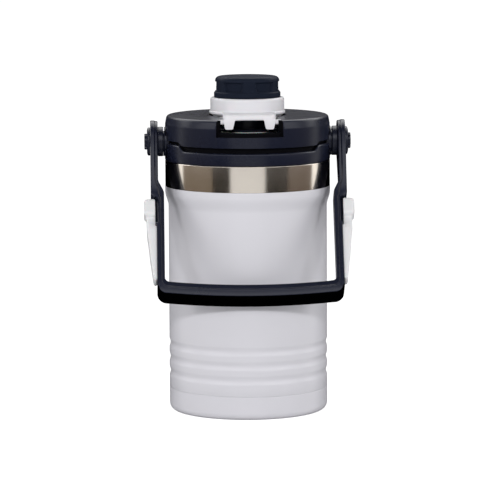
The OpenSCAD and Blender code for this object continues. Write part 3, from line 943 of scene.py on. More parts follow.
@dataclass
class Lid:
    """The screw lid: lower ring with pivot bosses, upper shell with notch and well, and spout."""

    shop: Workshop
    ring: NodeBox = field(default_factory=lambda: NodeBox.of("lid_ring"))
    shell: NodeBox = field(default_factory=lambda: NodeBox.of("lid_shell"))
    spout: NodeBox = field(default_factory=lambda: NodeBox.of("spout"))
    pivot_height: float = joint_record("bail_swing")["pos_m"][2] / MM
    hinge_y: float = joint_record("cap_flip")["pos_m"][1] / MM
    hinge_z: float = joint_record("cap_flip")["pos_m"][2] / MM
    ring_radius: float = 66.6
    ring_bore: float = 62.6
    ring_front_top: float = 213.4
    ear_top: float = 217.6
    ear_gap: float = 2.9
    front_gap: float = 2.3
    ear_side_gap: float = 0.8
    ear_start_deg: float = 31.2
    ear_end_deg: float = 38.6
    spigot: float = 63.1
    boss: float = 11.9
    boss_face: float = 67.2
    tab_height: float = 11.2
    bolt_bore: float = 4.1
    spacer_neck: float = 8.6
    well: float = 31.0
    floor: float = 226.3
    floor_underside: float = 222.7
    hinge_bearing: float = 2.1
    spout_bore: float = 17.0
    spout_tube: float = 19.8
    spout_pitch: float = 4.0
    notch_half: float = 22.8
    notch_mouth_half: float = 26.9
    shell_low: float = 217.6
    wall: float = 2.6
    knob_radius: float = 11.3
    knob_rim: float = 8.9
    knob_centre: float = 6.4
    knob_rise: float = 2.2
    knob_teeth: int = 10

    def ear_share(self, angle: float) -> float:
        """How much of a side ear there is at an angle about the axis, from 0 to 1."""
        off_side = math.degrees(min(abs(math.atan2(math.sin(angle - side), math.cos(angle - side)))
                                    for side in (0.0, math.pi)))
        return 1 - smoothstep(self.ear_start_deg, self.ear_end_deg, off_side)

    def build_ring(self) -> None:
        """The lower ring, whose wall rises into an ear at each side, with the pivot bosses."""
        low, radius, top = self.ring.low.z, self.ring_radius, self.ring.high.z - 0.1
        outline = fillet([
            (self.ring_bore, low, 0.3), (radius, low, 0.9), (radius, self.ring_front_top, 1.2),
            (self.spigot, self.ring_front_top, 0.3),
            (self.spigot, top, 0.3), (self.ring_bore, top, 0.2)], steps=5)
        rise = self.ear_top - self.ring_front_top

        def row(point: Point2) -> Callable[[float], Point2]:
            """Outline point that rises with the ears."""
            radius_here, height = point
            moves = self.ring_front_top - 2 < height <= self.ring_front_top + 0.01 \
                and radius_here > self.spigot - 0.4

            def at(angle: float) -> Point2:
                """The point at an angle."""
                return (radius_here, height + rise * self.ear_share(angle)) if moves else point
            return at

        bm = bmesh.new()
        add_turned(bm, [row(point) for point in outline], 288)
        for side in (-1, 1):
            boss = fillet([(self.boss - 3, self.ring_bore + 0.3, 0), (self.boss, self.ring_bore + 0.6, 0),
                           (self.boss, self.boss_face, 0.7), (self.bolt_bore, self.boss_face, 0.2),
                           (self.bolt_bore, self.ring_bore + 0.3, 0)], steps=5)
            add_turned_on_x(bm, boss, self.pivot_height, side)
            top_z, low_z = self.pivot_height - self.spacer_neck + 0.3, self.pivot_height - self.tab_height
            tab = [(-5, top_z), (-4.6, low_z), (4.6, low_z), (5, top_z)]
            add_prism(bm, tab, side * (self.boss_face - 0.3), side * (self.boss_face + 0.7),
                      lambda y, z, level: Vector((level, y, z)))
        ring = mesh_object("lower_lid_ring", bm)
        self.shop.stand_for(ring, "lid_ring")
        # Walls inside the ring's outer face and above its front top, seen through the gap under the shell, are
        # painted near-black as shade.
        self.shop.line(ring, "recess_plastic", lambda place, normal: place.xy.length < radius - 0.9
                       and place.z > self.ring_front_top - 1 and abs(normal.z) < 0.9)

    def notch_plan(self, grow: float = 0.0) -> list[Point2]:
        """Plan of the round well and the front notch that it opens into.

        Args:
            grow: how far the plan is grown outwards.

        Returns:
            The plan's points.
        """
        half, well = self.notch_half + grow, self.well + grow
        mouth = self.notch_mouth_half + grow
        open_at = math.asin(half / well)
        start, end = -math.pi / 2 + open_at, 3 * math.pi / 2 - open_at
        arc = [(well * math.cos(a), well * math.sin(a)) for a in spaced(start, end, 96)]
        left = fillet([(arc[-1][0], arc[-1][1], 0), (-half, -55.6 - grow / 2, 4),
                       (-mouth, -60.4 - grow / 2, 3), (-mouth - 1.0, -74, 0)], closed=False)
        right = [(-x, y) for x, y in reversed(left)]
        return arc[:-1] + left + right[:-1]

    def prism(self, plan: Sequence[Point2], low: float, high: float) -> bpy.types.Object:
        """A cutting solid over a plan, from one height to another."""
        bm = bmesh.new()
        add_prism(bm, plan, low, high, lambda x, y, level: Vector((x, y, level)))
        return mesh_object("cutter", bm)

    def side_prism(self, outline: Sequence[Point2], half_x: float) -> bpy.types.Object:
        """A cutting solid through the whole lid from side to side.

        Args:
            outline: y and z of each point.
            half_x: half of its length.

        Returns:
            The solid.
        """
        bm = bmesh.new()
        add_prism(bm, outline, -half_x, half_x, lambda y, z, level: Vector((level, y, z)))
        return mesh_object("cutter", bm)

    def build_shell(self) -> None:
        """The upper shell, hollow, with the notch, the well and the hinge bearings."""
        radius, top = self.shell.radius, self.shell.high.z
        outer = fillet([(0, self.shell_low, 0), (radius, self.shell_low, 0.5), (radius, top - 6.8, 6),
                        (radius - 1.3, top, 2.4), (0, top, 0)], steps=8)
        piece = turned("upper_lid_shell", outer, 288, closed=False)
        inner = radius - self.wall
        hollow = turned("hollow", [(0, self.shell_low - 2), (inner, self.shell_low - 2),
                                   (inner, top - 3), (0, top - 3)], 144, closed=False)
        cut(hollow, self.prism(self.notch_plan(2.4), self.floor_underside, 260))
        for side in (-1, 1):
            block = [(side * 21, self.hinge_y - 5), (side * 28, self.hinge_y - 5),
                     (side * 28, self.hinge_y + 5), (side * 21, self.hinge_y + 5)]
            cut(hollow, self.prism(block, self.floor_underside, 260))
        cut(piece, hollow)
        cut(piece, self.prism(self.notch_plan(), self.floor, 260))
        hole_radius = self.spout_tube + 0.3
        hole = [(hole_radius * math.cos(a), hole_radius * math.sin(a)) for a in spaced(0, TAU, 96)[:-1]]
        cut(piece, self.prism(hole, 210, 250))
        rim = self.ring_radius
        foot_y = rim * math.sin(math.radians(self.ear_end_deg)) + self.ear_side_gap
        head_y = rim * math.sin(math.radians(self.ear_start_deg)) + self.ear_side_gap
        head_z = self.ear_top + self.ear_gap
        foot_z = self.ring_front_top + self.front_gap
        ear = fillet([(-foot_y, foot_z - 5, 0), (foot_y, foot_z - 5, 0), (foot_y, foot_z, 1.5),
                      (head_y, head_z, 2.0), (-head_y, head_z, 2.0), (-foot_y, foot_z, 1.5)])
        cut(piece, self.side_prism(ear, 80))
        bm = bmesh.new()
        for side in (-1, 1):
            hole_outline = [(0, 50), (self.boss + 0.5, 50), (self.boss + 0.5, 80), (0, 80)]
            add_turned_on_x(bm, hole_outline, self.pivot_height, side, closed=False)
        cut(piece, mesh_object("cutter", bm))
        for side in (-1, 1):
            pin = self.hinge_bearing
            slot = [(self.hinge_y + pin * math.cos(a), self.hinge_z + pin * math.sin(a))
                    for a in spaced(math.radians(145), math.radians(395), 24)]
            slot += [(self.hinge_y + pin - 0.3, top + 3), (self.hinge_y - pin + 0.3, top + 3)]
            bm = bmesh.new()
            add_prism(bm, slot, side * 21.5, side * 25.5, lambda y, z, level: Vector((level, y, z)))
            cut(piece, mesh_object("cutter", bm))
        soften(piece, 0.45, 3)
        self.shop.stand_for(piece, "lid_shell")
        # Faces inside the well and the notch are painted near-black as shade.
        self.shop.line(piece, "recess_plastic", self.is_recess)

    def is_recess(self, place: Vector, _normal: Vector) -> bool:
        """Whether a face of the shell is inside the well or the notch, where the shell is painted near-black as
        shade.

        Args:
            place: the middle of the face, in millimetres.
            _normal: its normal, which doesn't matter here.

        Returns:
            True for the floor, and for walls that stand inside the lid's outline.
        """
        within = place.xy.length < self.shell.radius - 0.8
        between = abs(place.x) < self.notch_mouth_half + 0.2
        return within and between and self.floor - 0.3 < place.z < self.shell.high.z - 2.5

    def build_spout(self) -> None:
        """The drinking spout: bore, foot flange and a helical thread."""
        bore, tube, pitch = self.spout_bore, self.spout_tube, self.spout_pitch
        low, high = self.spout.low.z, self.spout.high.z
        flange = fillet([(bore, low, 0.3), (tube, low, 0.3), (tube, 227.3, 0), (26, 227.3, 0.5),
                         (26, 229.3, 0.8), (tube, 229.3, 1.5)], steps=4, closed=False)
        lip = fillet([(tube, 256.8, 0), (tube, high, 1.4), (bore, high, 1.4), (bore, low + 1, 0)],
                     steps=6, closed=False)

        def row(height: float) -> Callable[[float], Point2]:
            """Outline point of the threaded stretch."""
            def at(angle: float) -> Point2:
                """Radius with the ridge where the helix passes."""
                turns = (height - 243.0) / pitch - angle / TAU
                offset = abs(turns - round(turns)) * pitch
                along = round(turns) + angle / TAU
                fade = smoothstep(0.0, 0.1, along) * (1 - smoothstep(2.4, 2.5, along))
                return tube + 0.8 * (1 - smoothstep(0.4, 1.0, offset)) * fade, height
            return at

        rows: list[Callable[[float], Point2]] = [lambda _a, p=p: p for p in flange]
        rows += [row(h) for h in spaced(240.5, 256, 62)]
        rows += [lambda _a, p=p: p for p in lip]
        bm = bmesh.new()
        add_turned(bm, rows, 192)
        self.shop.stand_for(mesh_object("drinking_spout", bm, 60), "spout")

    def build_pivots(self) -> None:
        """The spacers beside the arms and the toothed knobs outside them."""
        for side, name in ((-1, "left"), (1, "right")):
            box = NodeBox.of(f"pivot_spacer_{name}")
            inner, outer = sorted((abs(box.low.x), abs(box.high.x)))
            bm = bmesh.new()
            shape = fillet([
                (self.bolt_bore, inner, 0.1), (self.spacer_neck, inner, 0.1),
                (self.spacer_neck, inner + 0.8, 0.1), (self.boss, inner + 0.8, 0.6),
                (self.boss, outer, 0.6), (self.bolt_bore, outer, 0.1)], steps=4)
            add_turned_on_x(bm, shape, self.pivot_height, side)
            self.shop.stand_for(mesh_object(f"arm_spacer_{name}", bm), f"pivot_spacer_{name}")
            self.build_knob(side, name)

    def build_knob(self, side: int, name: str) -> None:
        """One knob: a dished flange with a raised, toothed centre.

        Args:
            side: 1 for the right, -1 for the left.
            name: left or right.
        """
        box = NodeBox.of(f"pivot_knob_{name}")
        inner, outer = sorted((abs(box.low.x), abs(box.high.x)))
        bore, edge, centre = self.bolt_bore, self.knob_radius, self.knob_centre
        rim = outer - self.knob_rise
        body = fillet([(bore, inner, 0), (edge, inner, 0.3), (edge, rim - 0.6, 0.9),
                       (self.knob_rim, rim + 0.1, 0.8), (centre + 0.9, rim - 0.5, 0.3),
                       (centre + 0.2, rim - 0.5, 0)], steps=4, closed=False)
        rows: list[Callable[[float], Point2]] = [lambda _a, p=p: p for p in body]

        def toothed(radius: float, level: float) -> Callable[[float], Point2]:
            """Outline point of the toothed centre."""
            def at(angle: float) -> Point2:
                """Radius that dips between teeth."""
                wave = smoothstep(-0.25, 0.25, math.cos(angle * self.knob_teeth))
                return radius - 1 + wave, level
            return at

        rows += [toothed(centre, rim - 0.4), toothed(centre, outer - 0.5),
                 toothed(centre - 0.4, outer - 0.05)]
        dimple = [(3.4, outer), (3.1, outer - 0.5), (0, outer - 0.6), (0, rim - self.knob_rise),
                  (bore, rim - self.knob_rise)]
        rows += [lambda _a, p=p: p for p in dimple]
        bm = bmesh.new()
        add_turned(bm, rows, 160, closed=True)
        turn = Matrix.Rotation(side * math.pi / 2, 4, "Y")
        bm.transform(Matrix.Translation((0, 0, self.pivot_height)) @ turn)
        self.shop.stand_for(mesh_object(f"toothed_knob_{name}", bm), f"pivot_knob_{name}")

    def build(self) -> None:
        """Builds every piece of the lid."""
        self.build_ring()
        self.build_shell()
        self.build_spout()
        self.build_pivots()
        for node in ("lid_liner", "lid_insulation", "spout_gasket", "neck_gasket",
                     "pivot_bolt_left", "pivot_bolt_right"):
            self.shop.keep(node)


# ---------------------------------------------------------------------------
# Cap carrier and twist cap
# ---------------------------------------------------------------------------


@dataclass
class CapCarrier:
    """The white collar that holds the cap, its yoke and its hinge pins."""

    shop: Workshop
    collar: NodeBox = field(default_factory=lambda: NodeBox.of("cap_collar"))
    hinge_y: float = joint_record("cap_flip")["pos_m"][1] / MM
    hinge_z: float = joint_record("cap_flip")["pos_m"][2] / MM
    radius: float = 29.8
    skirt: float = 30.6
    skirt_low: float = 241.2
    skirt_high: float = 242.6
    crease: float = 243.4
    bore: float = 26.35
    low: float = 239.6
    plate_low: float = 239.1
    plate_half: float = 21.6
    plate_front: float = 56.8
    leg_half: float = 3.8
    leg_inner: float = 11.6
    leg_inner_low: float = 13.1
    leg_outer: float = 20.0

    def build_collar(self) -> None:
        """The ring with its wider skirt, the yoke that reaches forward, and two legs round the pins."""
        top = self.collar.high.z
        outline = fillet([
            (self.bore, self.low, 0.2), (self.skirt - 2.4, self.low, 0.6),
            (self.skirt, self.skirt_low, 0.8), (self.skirt, self.skirt_high, 0.5),
            (self.radius, self.crease, 0.5), (self.radius, top, 1.7), (self.bore, top, 0.4)], steps=6)
        piece = turned("cap_collar_ring", outline, 224)
        yoke = self.build_yoke()
        modify(piece, "BOOLEAN", operation="UNION", object=yoke, solver="EXACT")
        discard(yoke)
        soften(piece, 0.35, 3, 36)
        self.shop.stand_for(piece, "cap_collar")

    def build_yoke(self) -> bpy.types.Object:
        """The plate and legs as one solid, cleared for the cap's skirt.

        Returns:
            The solid.
        """
        y, half, front = self.hinge_y, self.plate_half, self.plate_front
        side = fillet([(-18, self.low, 0), (-30, self.low, 2), (-36, self.plate_low, 2),
                       (-front, self.plate_low, 1.4), (-front, self.crease + 0.2, 4.2),
                       (-36, self.crease - 0.2, 8), (-18, self.crease, 0)], steps=7)
        bm = bmesh.new()
        add_prism(bm, side, -half, half, lambda a, b, level: Vector((level, a, b)))
        yoke = mesh_object("yoke", bm)
        plan = fillet([(half - 1.4, -10, 0), (half - 1.2, -42, 12), (half, -front, 6.0),
                       (-half, -front, 6.0), (-half + 1.2, -42, 12), (-half + 1.4, -10, 0)], steps=8)
        trim = bmesh.new()
        add_prism(trim, plan, 225, 250, lambda a, b, level: Vector((a, b, level)))
        trimmer = mesh_object("cutter", trim)
        modify(yoke, "BOOLEAN", operation="INTERSECT", object=trimmer, solver="EXACT")
        discard(trimmer)
        for sign in (-1, 1):
            foot = self.hinge_z - 1.8 - self.leg_half
            leg_top = self.low + 0.6
            profile = [(self.leg_inner - 1.6, leg_top, 0), (self.leg_inner, 239.0, 1.6),
                       (self.leg_inner_low, foot, 1.3), (self.leg_outer - 0.8, foot, 1.6),
                       (self.leg_outer, 236.0, 2.5), (self.leg_outer, leg_top, 0)]
            face = fillet([(sign * x, z, radius) for x, z, radius in profile], steps=5)
            leg = bmesh.new()
            add_prism(leg, face, y - self.leg_half, y + self.leg_half,
                      lambda a, b, level: Vector((a, level, b)))
            solid = mesh_object("leg", leg)
            modify(yoke, "BOOLEAN", operation="UNION", object=solid, solver="EXACT")
            discard(solid)
        hole = bmesh.new()
        ring = [(self.bore * math.cos(a), self.bore * math.sin(a)) for a in spaced(0, TAU, 128)[:-1]]
        add_prism(hole, ring, 225, 260, lambda a, b, level: Vector((a, b, level)))
        cut(yoke, mesh_object("cutter", hole))
        return yoke

    def build(self) -> None:
        """Builds the collar and dresses the pins."""
        self.build_collar()
        self.shop.keep("hinge_pins")


@dataclass
class TwistCap:
    """The navy cap with its finger pockets, liner, gasket and retaining ring."""

    shop: Workshop
    cap: NodeBox = field(default_factory=lambda: NodeBox.of("twist_cap"))
    radius: float = 25.9
    flange: float = 26.8
    corner: float = 3.6
    flange_low: float = 253.9
    flange_top: float = 258.5
    pocket_low: float = 258.9
    pocket_high: float = 266.7
    pocket_depth: float = 1.7
    pocket_half_deg: float = 18.0
    pocket_count: int = 6
    pocket_phase_deg: float = -58.0
    skirt: float = 26.0
    skirt_bore: float = 24.3

    def pocket_share(self, angle: float, height: float) -> float:
        """How deep the pockets are at a point, from 0 to 1.

        Args:
            angle: angle about the axis.
            height: height above the foot.

        Returns:
            The share of the full depth.
        """
        step = TAU / self.pocket_count
        offset = (angle - math.radians(self.pocket_phase_deg)) / step
        away = math.degrees(abs(offset - round(offset)) * step)
        slope = (height - self.pocket_low) / (self.pocket_high - self.pocket_low)
        half = self.pocket_half_deg - 1.3 + 2.0 * slope
        side = 1 - smoothstep(half - 1.0, half + 0.6, away)
        ends = smoothstep(self.pocket_low, self.pocket_low + 0.7, height) \
            * (1 - smoothstep(self.pocket_high - 0.9, self.pocket_high, height))
        return side * ends

    def build_cap(self) -> None:
        """The cap's shell, with a pocket between each pair of ribs."""
        low, top = self.cap.low.z, self.cap.high.z
        lower = fillet([
            (self.skirt_bore, low, 0.3), (self.skirt, low, 0.3), (self.skirt, self.flange_low, 0),
            (self.flange, self.flange_low, 0.5), (self.flange, self.flange_top - 0.7, 0.8),
            (self.radius, self.flange_top, 0.5), (self.radius, self.flange_top + 0.5, 0)],
            steps=4, closed=False)
        dome = fillet([(self.radius, top - self.corner, 0), (self.radius, top, self.corner), (0, top, 0)],
                      steps=9, closed=False)
        inside = [(0, top - 2.4), (22.3, top - 2.4), (22.3, 257.0), (self.skirt_bore, 256.2)]

        def row(height: float) -> Callable[[float], Point2]:
            """Outline point of the gripping wall."""
            depth = self.pocket_depth
            return lambda angle: (self.radius - depth * self.pocket_share(angle, height), height)

        rows: list[Callable[[float], Point2]] = [lambda _a, p=p: p for p in lower]
        rows += [row(h) for h in spaced(self.flange_top + 0.6, top - self.corner, 44)]
        rows += [lambda _a, p=p: p for p in dome[1:] + inside]
        bm = bmesh.new()
        add_turned(bm, rows, 360)
        self.shop.stand_for(mesh_object("twist_cap_shell", bm, 50), "twist_cap")

    def build(self) -> None:
        """Builds the cap and dresses what is inside it."""
        self.build_cap()
        for node in ("cap_liner", "cap_gasket", "cap_retainer"):
            self.shop.keep(node)


# ---------------------------------------------------------------------------
# Bail
# ---------------------------------------------------------------------------


@dataclass
class Bail:
    """The swinging handle: strap, a near-black grip pad and two fence hooks; the pad's near-black is painted shade
    of the grip's downward-facing outer face.

    Its shapes are drawn as if it hung straight down from the pivot: across, towards the front edge
    of the strap, and reach below the pivot.
    """

    shop: Workshop
    pivot_height: float = joint_record("bail_swing")["pos_m"][2] / MM
    hang_deg: float = 34.5
    strap: float = 17.8
    eye: float = 17.2
    eye_inner: float = 72.4
    eye_outer: float = 78.4
    arm_inner: float = 67.7
    arm_outer: float = 73.8
    throat_depth_x: float = 72.4
    throat_start: float = 55.0
    throat_end: float = 78.0
    grip_reach: float = 133.5
    grip_thick: float = 12.3
    pad_thick: float = 1.2
    bow: float = 3.5
    bow_half: float = 66.0
    pin_bore: float = 4.08
    throat_step: float = 1.1
    inner_corner: Point2 = (64.1, 126.4)
    inner_round: float = 3.6
    outer_corner: Point2 = (65.9, 134.4)
    outer_round: float = 8.0
    pad_fit: float = 0.03

    @property
    def grip_outer(self) -> float:
        """Reach of the grip's outer face at its middle."""
        return self.grip_reach + self.grip_thick

    def placed(self, across: float, front: float, reach: float) -> Vector:
        """Turns a point of the hanging bail into a point of the jug.

        Args:
            across: distance to the right of the jug's axis.
            front: distance towards the strap's front edge.
            reach: distance below the pivot.

        Returns:
            The point, in millimetres.
        """
        angle = math.radians(self.hang_deg)
        y, z = -front, -reach
        return Vector((across, y * math.cos(angle) + z * math.sin(angle),
                       self.pivot_height - y * math.sin(angle) + z * math.cos(angle)))

    def bow_reach(self, reach: float, across: float) -> float:
        """Reach of the bowed grip's face at a distance from the middle."""
        radius = (self.bow_half ** 2 + self.bow ** 2) / (2 * self.bow)
        return reach - radius + math.sqrt(radius ** 2 - across ** 2)

    def stations(self) -> list[tuple[Point2, Point2, float]]:
        """Inner point, outer point and width of the strap along its right half.

        Returns:
            The stations from the top of the eye to the middle of the grip.
        """
        result: list[tuple[Point2, Point2, float]] = []
        for i in range(2, 17):
            turn = math.pi * 0.56 * i / 16
            reach, width = -self.eye * math.cos(turn), 2 * self.eye * math.sin(turn)
            result.append(((self.eye_inner, reach), (self.eye_outer, reach), width))
        first_width, start = result[-1][2], result[-1][0][1]

        def width_at(reach: float) -> float:
            """Width of the strap as it narrows from the eye."""
            share = min(1.0, smoothstep(start, 50, reach) * 0.6 + 0.4 * (reach - start) / (50 - start))
            return first_width + (self.strap - first_width) * share

        jog = [(r, self.eye_inner) for r in (8, 14, 20, 26, 32, 36, 39.4)]
        jog += [(41.5, 71.7), (44.6, 70.1), (47.8, 68.5), (49.6, 67.85), (51.2, self.arm_inner)]
        result += [((inner, reach), (self.eye_outer, reach), width_at(reach)) for reach, inner in jog]
        shelf = self.arm_outer + self.throat_step
        lip = [(51.9, 78.3), (52.6, 77.8), (54.4, 76.7), (54.9, 76.3), (55.05, shelf), (66, shelf),
               (self.throat_end, shelf), (79.4, self.arm_outer + 0.3), (80.2, self.arm_outer)]
        lip += [(r, self.arm_outer) for r in (92, 101, 110, 118, 125, 129)]
        result += [((self.arm_inner, reach), (outer, reach), self.strap) for reach, outer in lip]
        for i in range(13):
            a, b = math.radians(-2 + 86 * i / 12), math.radians(-1 + 81 * i / 12)
            radius = self.outer_round - (self.pad_thick if i else 0)
            inner, outer, small = self.inner_corner, self.outer_corner, self.inner_round
            result.append(((inner[0] + small * math.cos(a), inner[1] + small * math.sin(a)),
                           (outer[0] + radius * math.cos(b), outer[1] + radius * math.sin(b)), self.strap))
        for across in spaced(61, 0, 15):
            result.append(((across, self.bow_reach(self.grip_reach, across)),
                           (across, self.bow_reach(self.grip_outer - self.pad_thick, across)), self.strap))
        return result

    def section(self, inner: Point2, outer: Point2, width: float) -> list[Vector]:
        """The strap's section: a stepped front edge with a raised line, and a plain back edge.

        Args:
            inner: the strap's inner face, as across and reach.
            outer: its outer face.
            width: its width towards the front and back.

        Returns:
            The section's points in the jug.
        """
        half = width / 2
        step = min(1.0, width / 12)
        bevel = min(1.0, math.dist(inner, outer) / 9) / math.dist(inner, outer)
        edge = [(0.0, half - 2.4 * step), (0.4 * bevel, half - 1.75 * step),
                (1.3 * bevel, half - 1.45 * step), (0.26, half - 1.35 * step), (0.34, half - 1.4 * step),
                (0.36, half - 1.3 * step),
                (0.42, half - 0.75 * step), (0.48, half - 0.35 * step), (0.50, half - 0.3 * step),
                (0.54, half - 0.42 * step), (0.56, half - 0.45 * step), (1 - 1.0 * bevel, half - 0.4 * step),
                (1 - 0.3 * bevel, half - 0.65 * step), (1.0, half - 1.1 * step)]
        back = [(1.0, -half + 1.2 * step), (1 - 0.35 * bevel, -half + 0.35 * step),
                (1 - 1.2 * bevel, -half), (0.5, -half), (1.2 * bevel, -half),
                (0.35 * bevel, -half + 0.35 * step), (0.0, -half + 1.2 * step)]
        points = []
        for share, front in edge + back:
            across = inner[0] + (outer[0] - inner[0]) * share
            reach = inner[1] + (outer[1] - inner[1]) * share
            points.append((across, front, reach))
        return points

    def build_frame(self) -> None:
        """The whole strap from eye to eye as one loft, bored for the pivot bolts."""
        right = [self.section(*station) for station in self.stations()]
        left = [[(-x, front, reach) for x, front, reach in section] for section in reversed(right[:-1])]
        bm = bmesh.new()
        add_loft(bm, [[self.placed(*point) for point in section] for section in right + left])
        piece = mesh_object("bail_strap", bm, 40)
        bore = bmesh.new()
        add_turned_on_x(bore, [(0, -90), (self.pin_bore, -90), (self.pin_bore, 90), (0, 90)],
                        self.pivot_height, 1, 64, closed=False)
        cut(piece, mesh_object("cutter", bore))
        for side in (-1, 1):
            deep, clear, start = self.throat_depth_x, 82, self.throat_start + 0.05
            throat = [(side * deep, start), (side * clear, start), (side * clear, self.throat_end),
                      (side * deep, self.throat_end)]
            groove = bmesh.new()
            add_prism(groove, throat, 0.0, 14.0, lambda x, reach, front: self.placed(x, front, reach))
            cut(piece, mesh_object("cutter", groove))
        self.shop.stand_for(piece, "bail_frame")

    def build_pad(self) -> None:
        """The pad let into the grip's outer face and round both corners; its near-black is painted shade of that
        downward-facing face.
        """
        middle, rounded = self.outer_corner, self.outer_round
        deep = rounded - self.pad_thick + self.pad_fit
        angles = [math.radians(a) for a in spaced(-1, 80, 12)]
        right = [((middle[0] + rounded * math.cos(a), middle[1] + rounded * math.sin(a)),
                  (middle[0] + deep * math.cos(a), middle[1] + deep * math.sin(a))) for a in angles]
        skin = self.grip_outer - self.pad_thick + self.pad_fit
        right += [((x, self.bow_reach(self.grip_outer, x)), (x, self.bow_reach(skin, x)))
                  for x in spaced(62, 0, 16)]
        left = [((-a[0], a[1]), (-b[0], b[1])) for a, b in reversed(right[:-1])]
        half = self.strap / 2
        shape = [(1.0, -half + 0.3), (0.75, -half + 0.3), (0.2, -half + 0.7), (0.0, -half + 1.5),
                 (0.0, half - 1.4), (0.25, half - 0.6), (0.75, half - 0.35), (1.0, half - 0.35)]
        sections = []
        for outer, inner in right + left:
            sections.append([self.placed(outer[0] + (inner[0] - outer[0]) * share, front,
                                         outer[1] + (inner[1] - outer[1]) * share)
                             for share, front in shape])
        bm = bmesh.new()
        add_loft(bm, sections)
        # The pad is dressed near-black as painted shade of the grip's outer face.
        self.shop.stand_for(mesh_object("grip_pad_painted_shade", bm, 50), "grip_pad")

    def hook_sections(self) -> list[list[tuple[float, float, float]]]:
        """Sections of the right hook's body and finger, from the tip to the end by the grip.

        Returns:
            Rings of points, as across, front and reach.
        """
        inner_at = [(55.25, 77.0), (55.6, 75.8), (56.4, 75.15), (57.6, 75.0), (self.throat_end + 1, 75.0),
                    (80.4, self.arm_outer + 0.02), (127, self.arm_outer + 0.02), (128.2, 74.6)]
        outer_at = [(55.25, 81.2), (55.8, 82.8), (56.9, 83.7), (58.2, 84.0), (67.6, 84.0), (69.2, 83.6),
                    (70.6, 82.4), (73, 82.0), (84, 81.7), (95, 80.4), (108, 79.2), (118, 77.9),
                    (126.6, 76.9), (128.2, 76.0)]
        width_at = [(55.25, 4.6), (56.0, 5.9), (58, 6.9), (68.4, 7.0), (70.4, 6.2), (71.6, 4.6),
                    (76.8, 4.4), (79.2, 5.6), (82.5, 6.8), (122, 6.6), (126.8, 6.0), (128.2, 4.8)]

        def at(table: Sequence[Point2], reach: float) -> float:
            """Reads a table of reach and value."""
            for (r0, v0), (r1, v1) in zip(table, table[1:]):
                if reach <= r1:
                    return v0 + (v1 - v0) * (reach - r0) / (r1 - r0)
            return table[-1][1]

        reaches = sorted({r for table in (inner_at, outer_at, width_at) for r, _ in table}
                         | set(spaced(86, 124, 9)) | set(spaced(60, 67, 3)))
        rings = []
        for reach in reaches:
            inner, outer, half = at(inner_at, reach), at(outer_at, reach), at(width_at, reach)
            round_off = min(1.7, (outer - inner) / 2.4)
            ring = fillet([(inner, -half, 0.6), (outer, -half, round_off), (outer, half, round_off),
                           (inner, half, 0.6)], steps=4)
            rings.append([(x, front, reach) for x, front in ring])
        return rings

    def build_hook(self, side: int, name: str) -> None:
        """One fence hook: a finger with a blunt tip, a waist, and a body that tapers to the grip.

        Args:
            side: 1 for the right, -1 for the left.
            name: left or right.
        """
        bm = bmesh.new()
        rings = [[self.placed(side * x, front, reach) for x, front, reach in ring]
                 for ring in self.hook_sections()]
        add_loft(bm, rings)
        piece = mesh_object(f"white_fence_hook_{name}", bm, 50)
        self.shop.stand_for(piece, f"fence_hook_{name}")

    def build(self) -> None:
        """Builds every piece of the bail."""
        self.build_frame()
        self.build_pad()
        for side, name in ((-1, "left"), (1, "right")):
            self.build_hook(side, name)
            self.shop.keep(f"hook_screws_{name}")


# ---------------------------------------------------------------------------
# Stage
# ---------------------------------------------------------------------------


class Zone(Enum):
    """Light that the jug reflects from each part of the studio."""

    WINDOW = (0.88, 0.88, 0.88)
    FLAG = (0.034, 0.029, 0.025)
    LEFT_WALL = (0.205, 0.165, 0.125)
    RIGHT_WALL = (0.15, 0.117, 0.094)
    STRIP = (1.3, 1.28, 1.24)
    BLACK = (0.0, 0.0, 0.0)
    FRONT_SOFTBOX = (3.2, 3.2, 3.2)
    TOP_GAP = (0.06, 0.06, 0.065)
    TOP_SOFTBOX = (3.6, 3.6, 3.6)
    BACK_WALL = (0.11, 0.102, 0.095)


ZONE_PEAK = 5.0


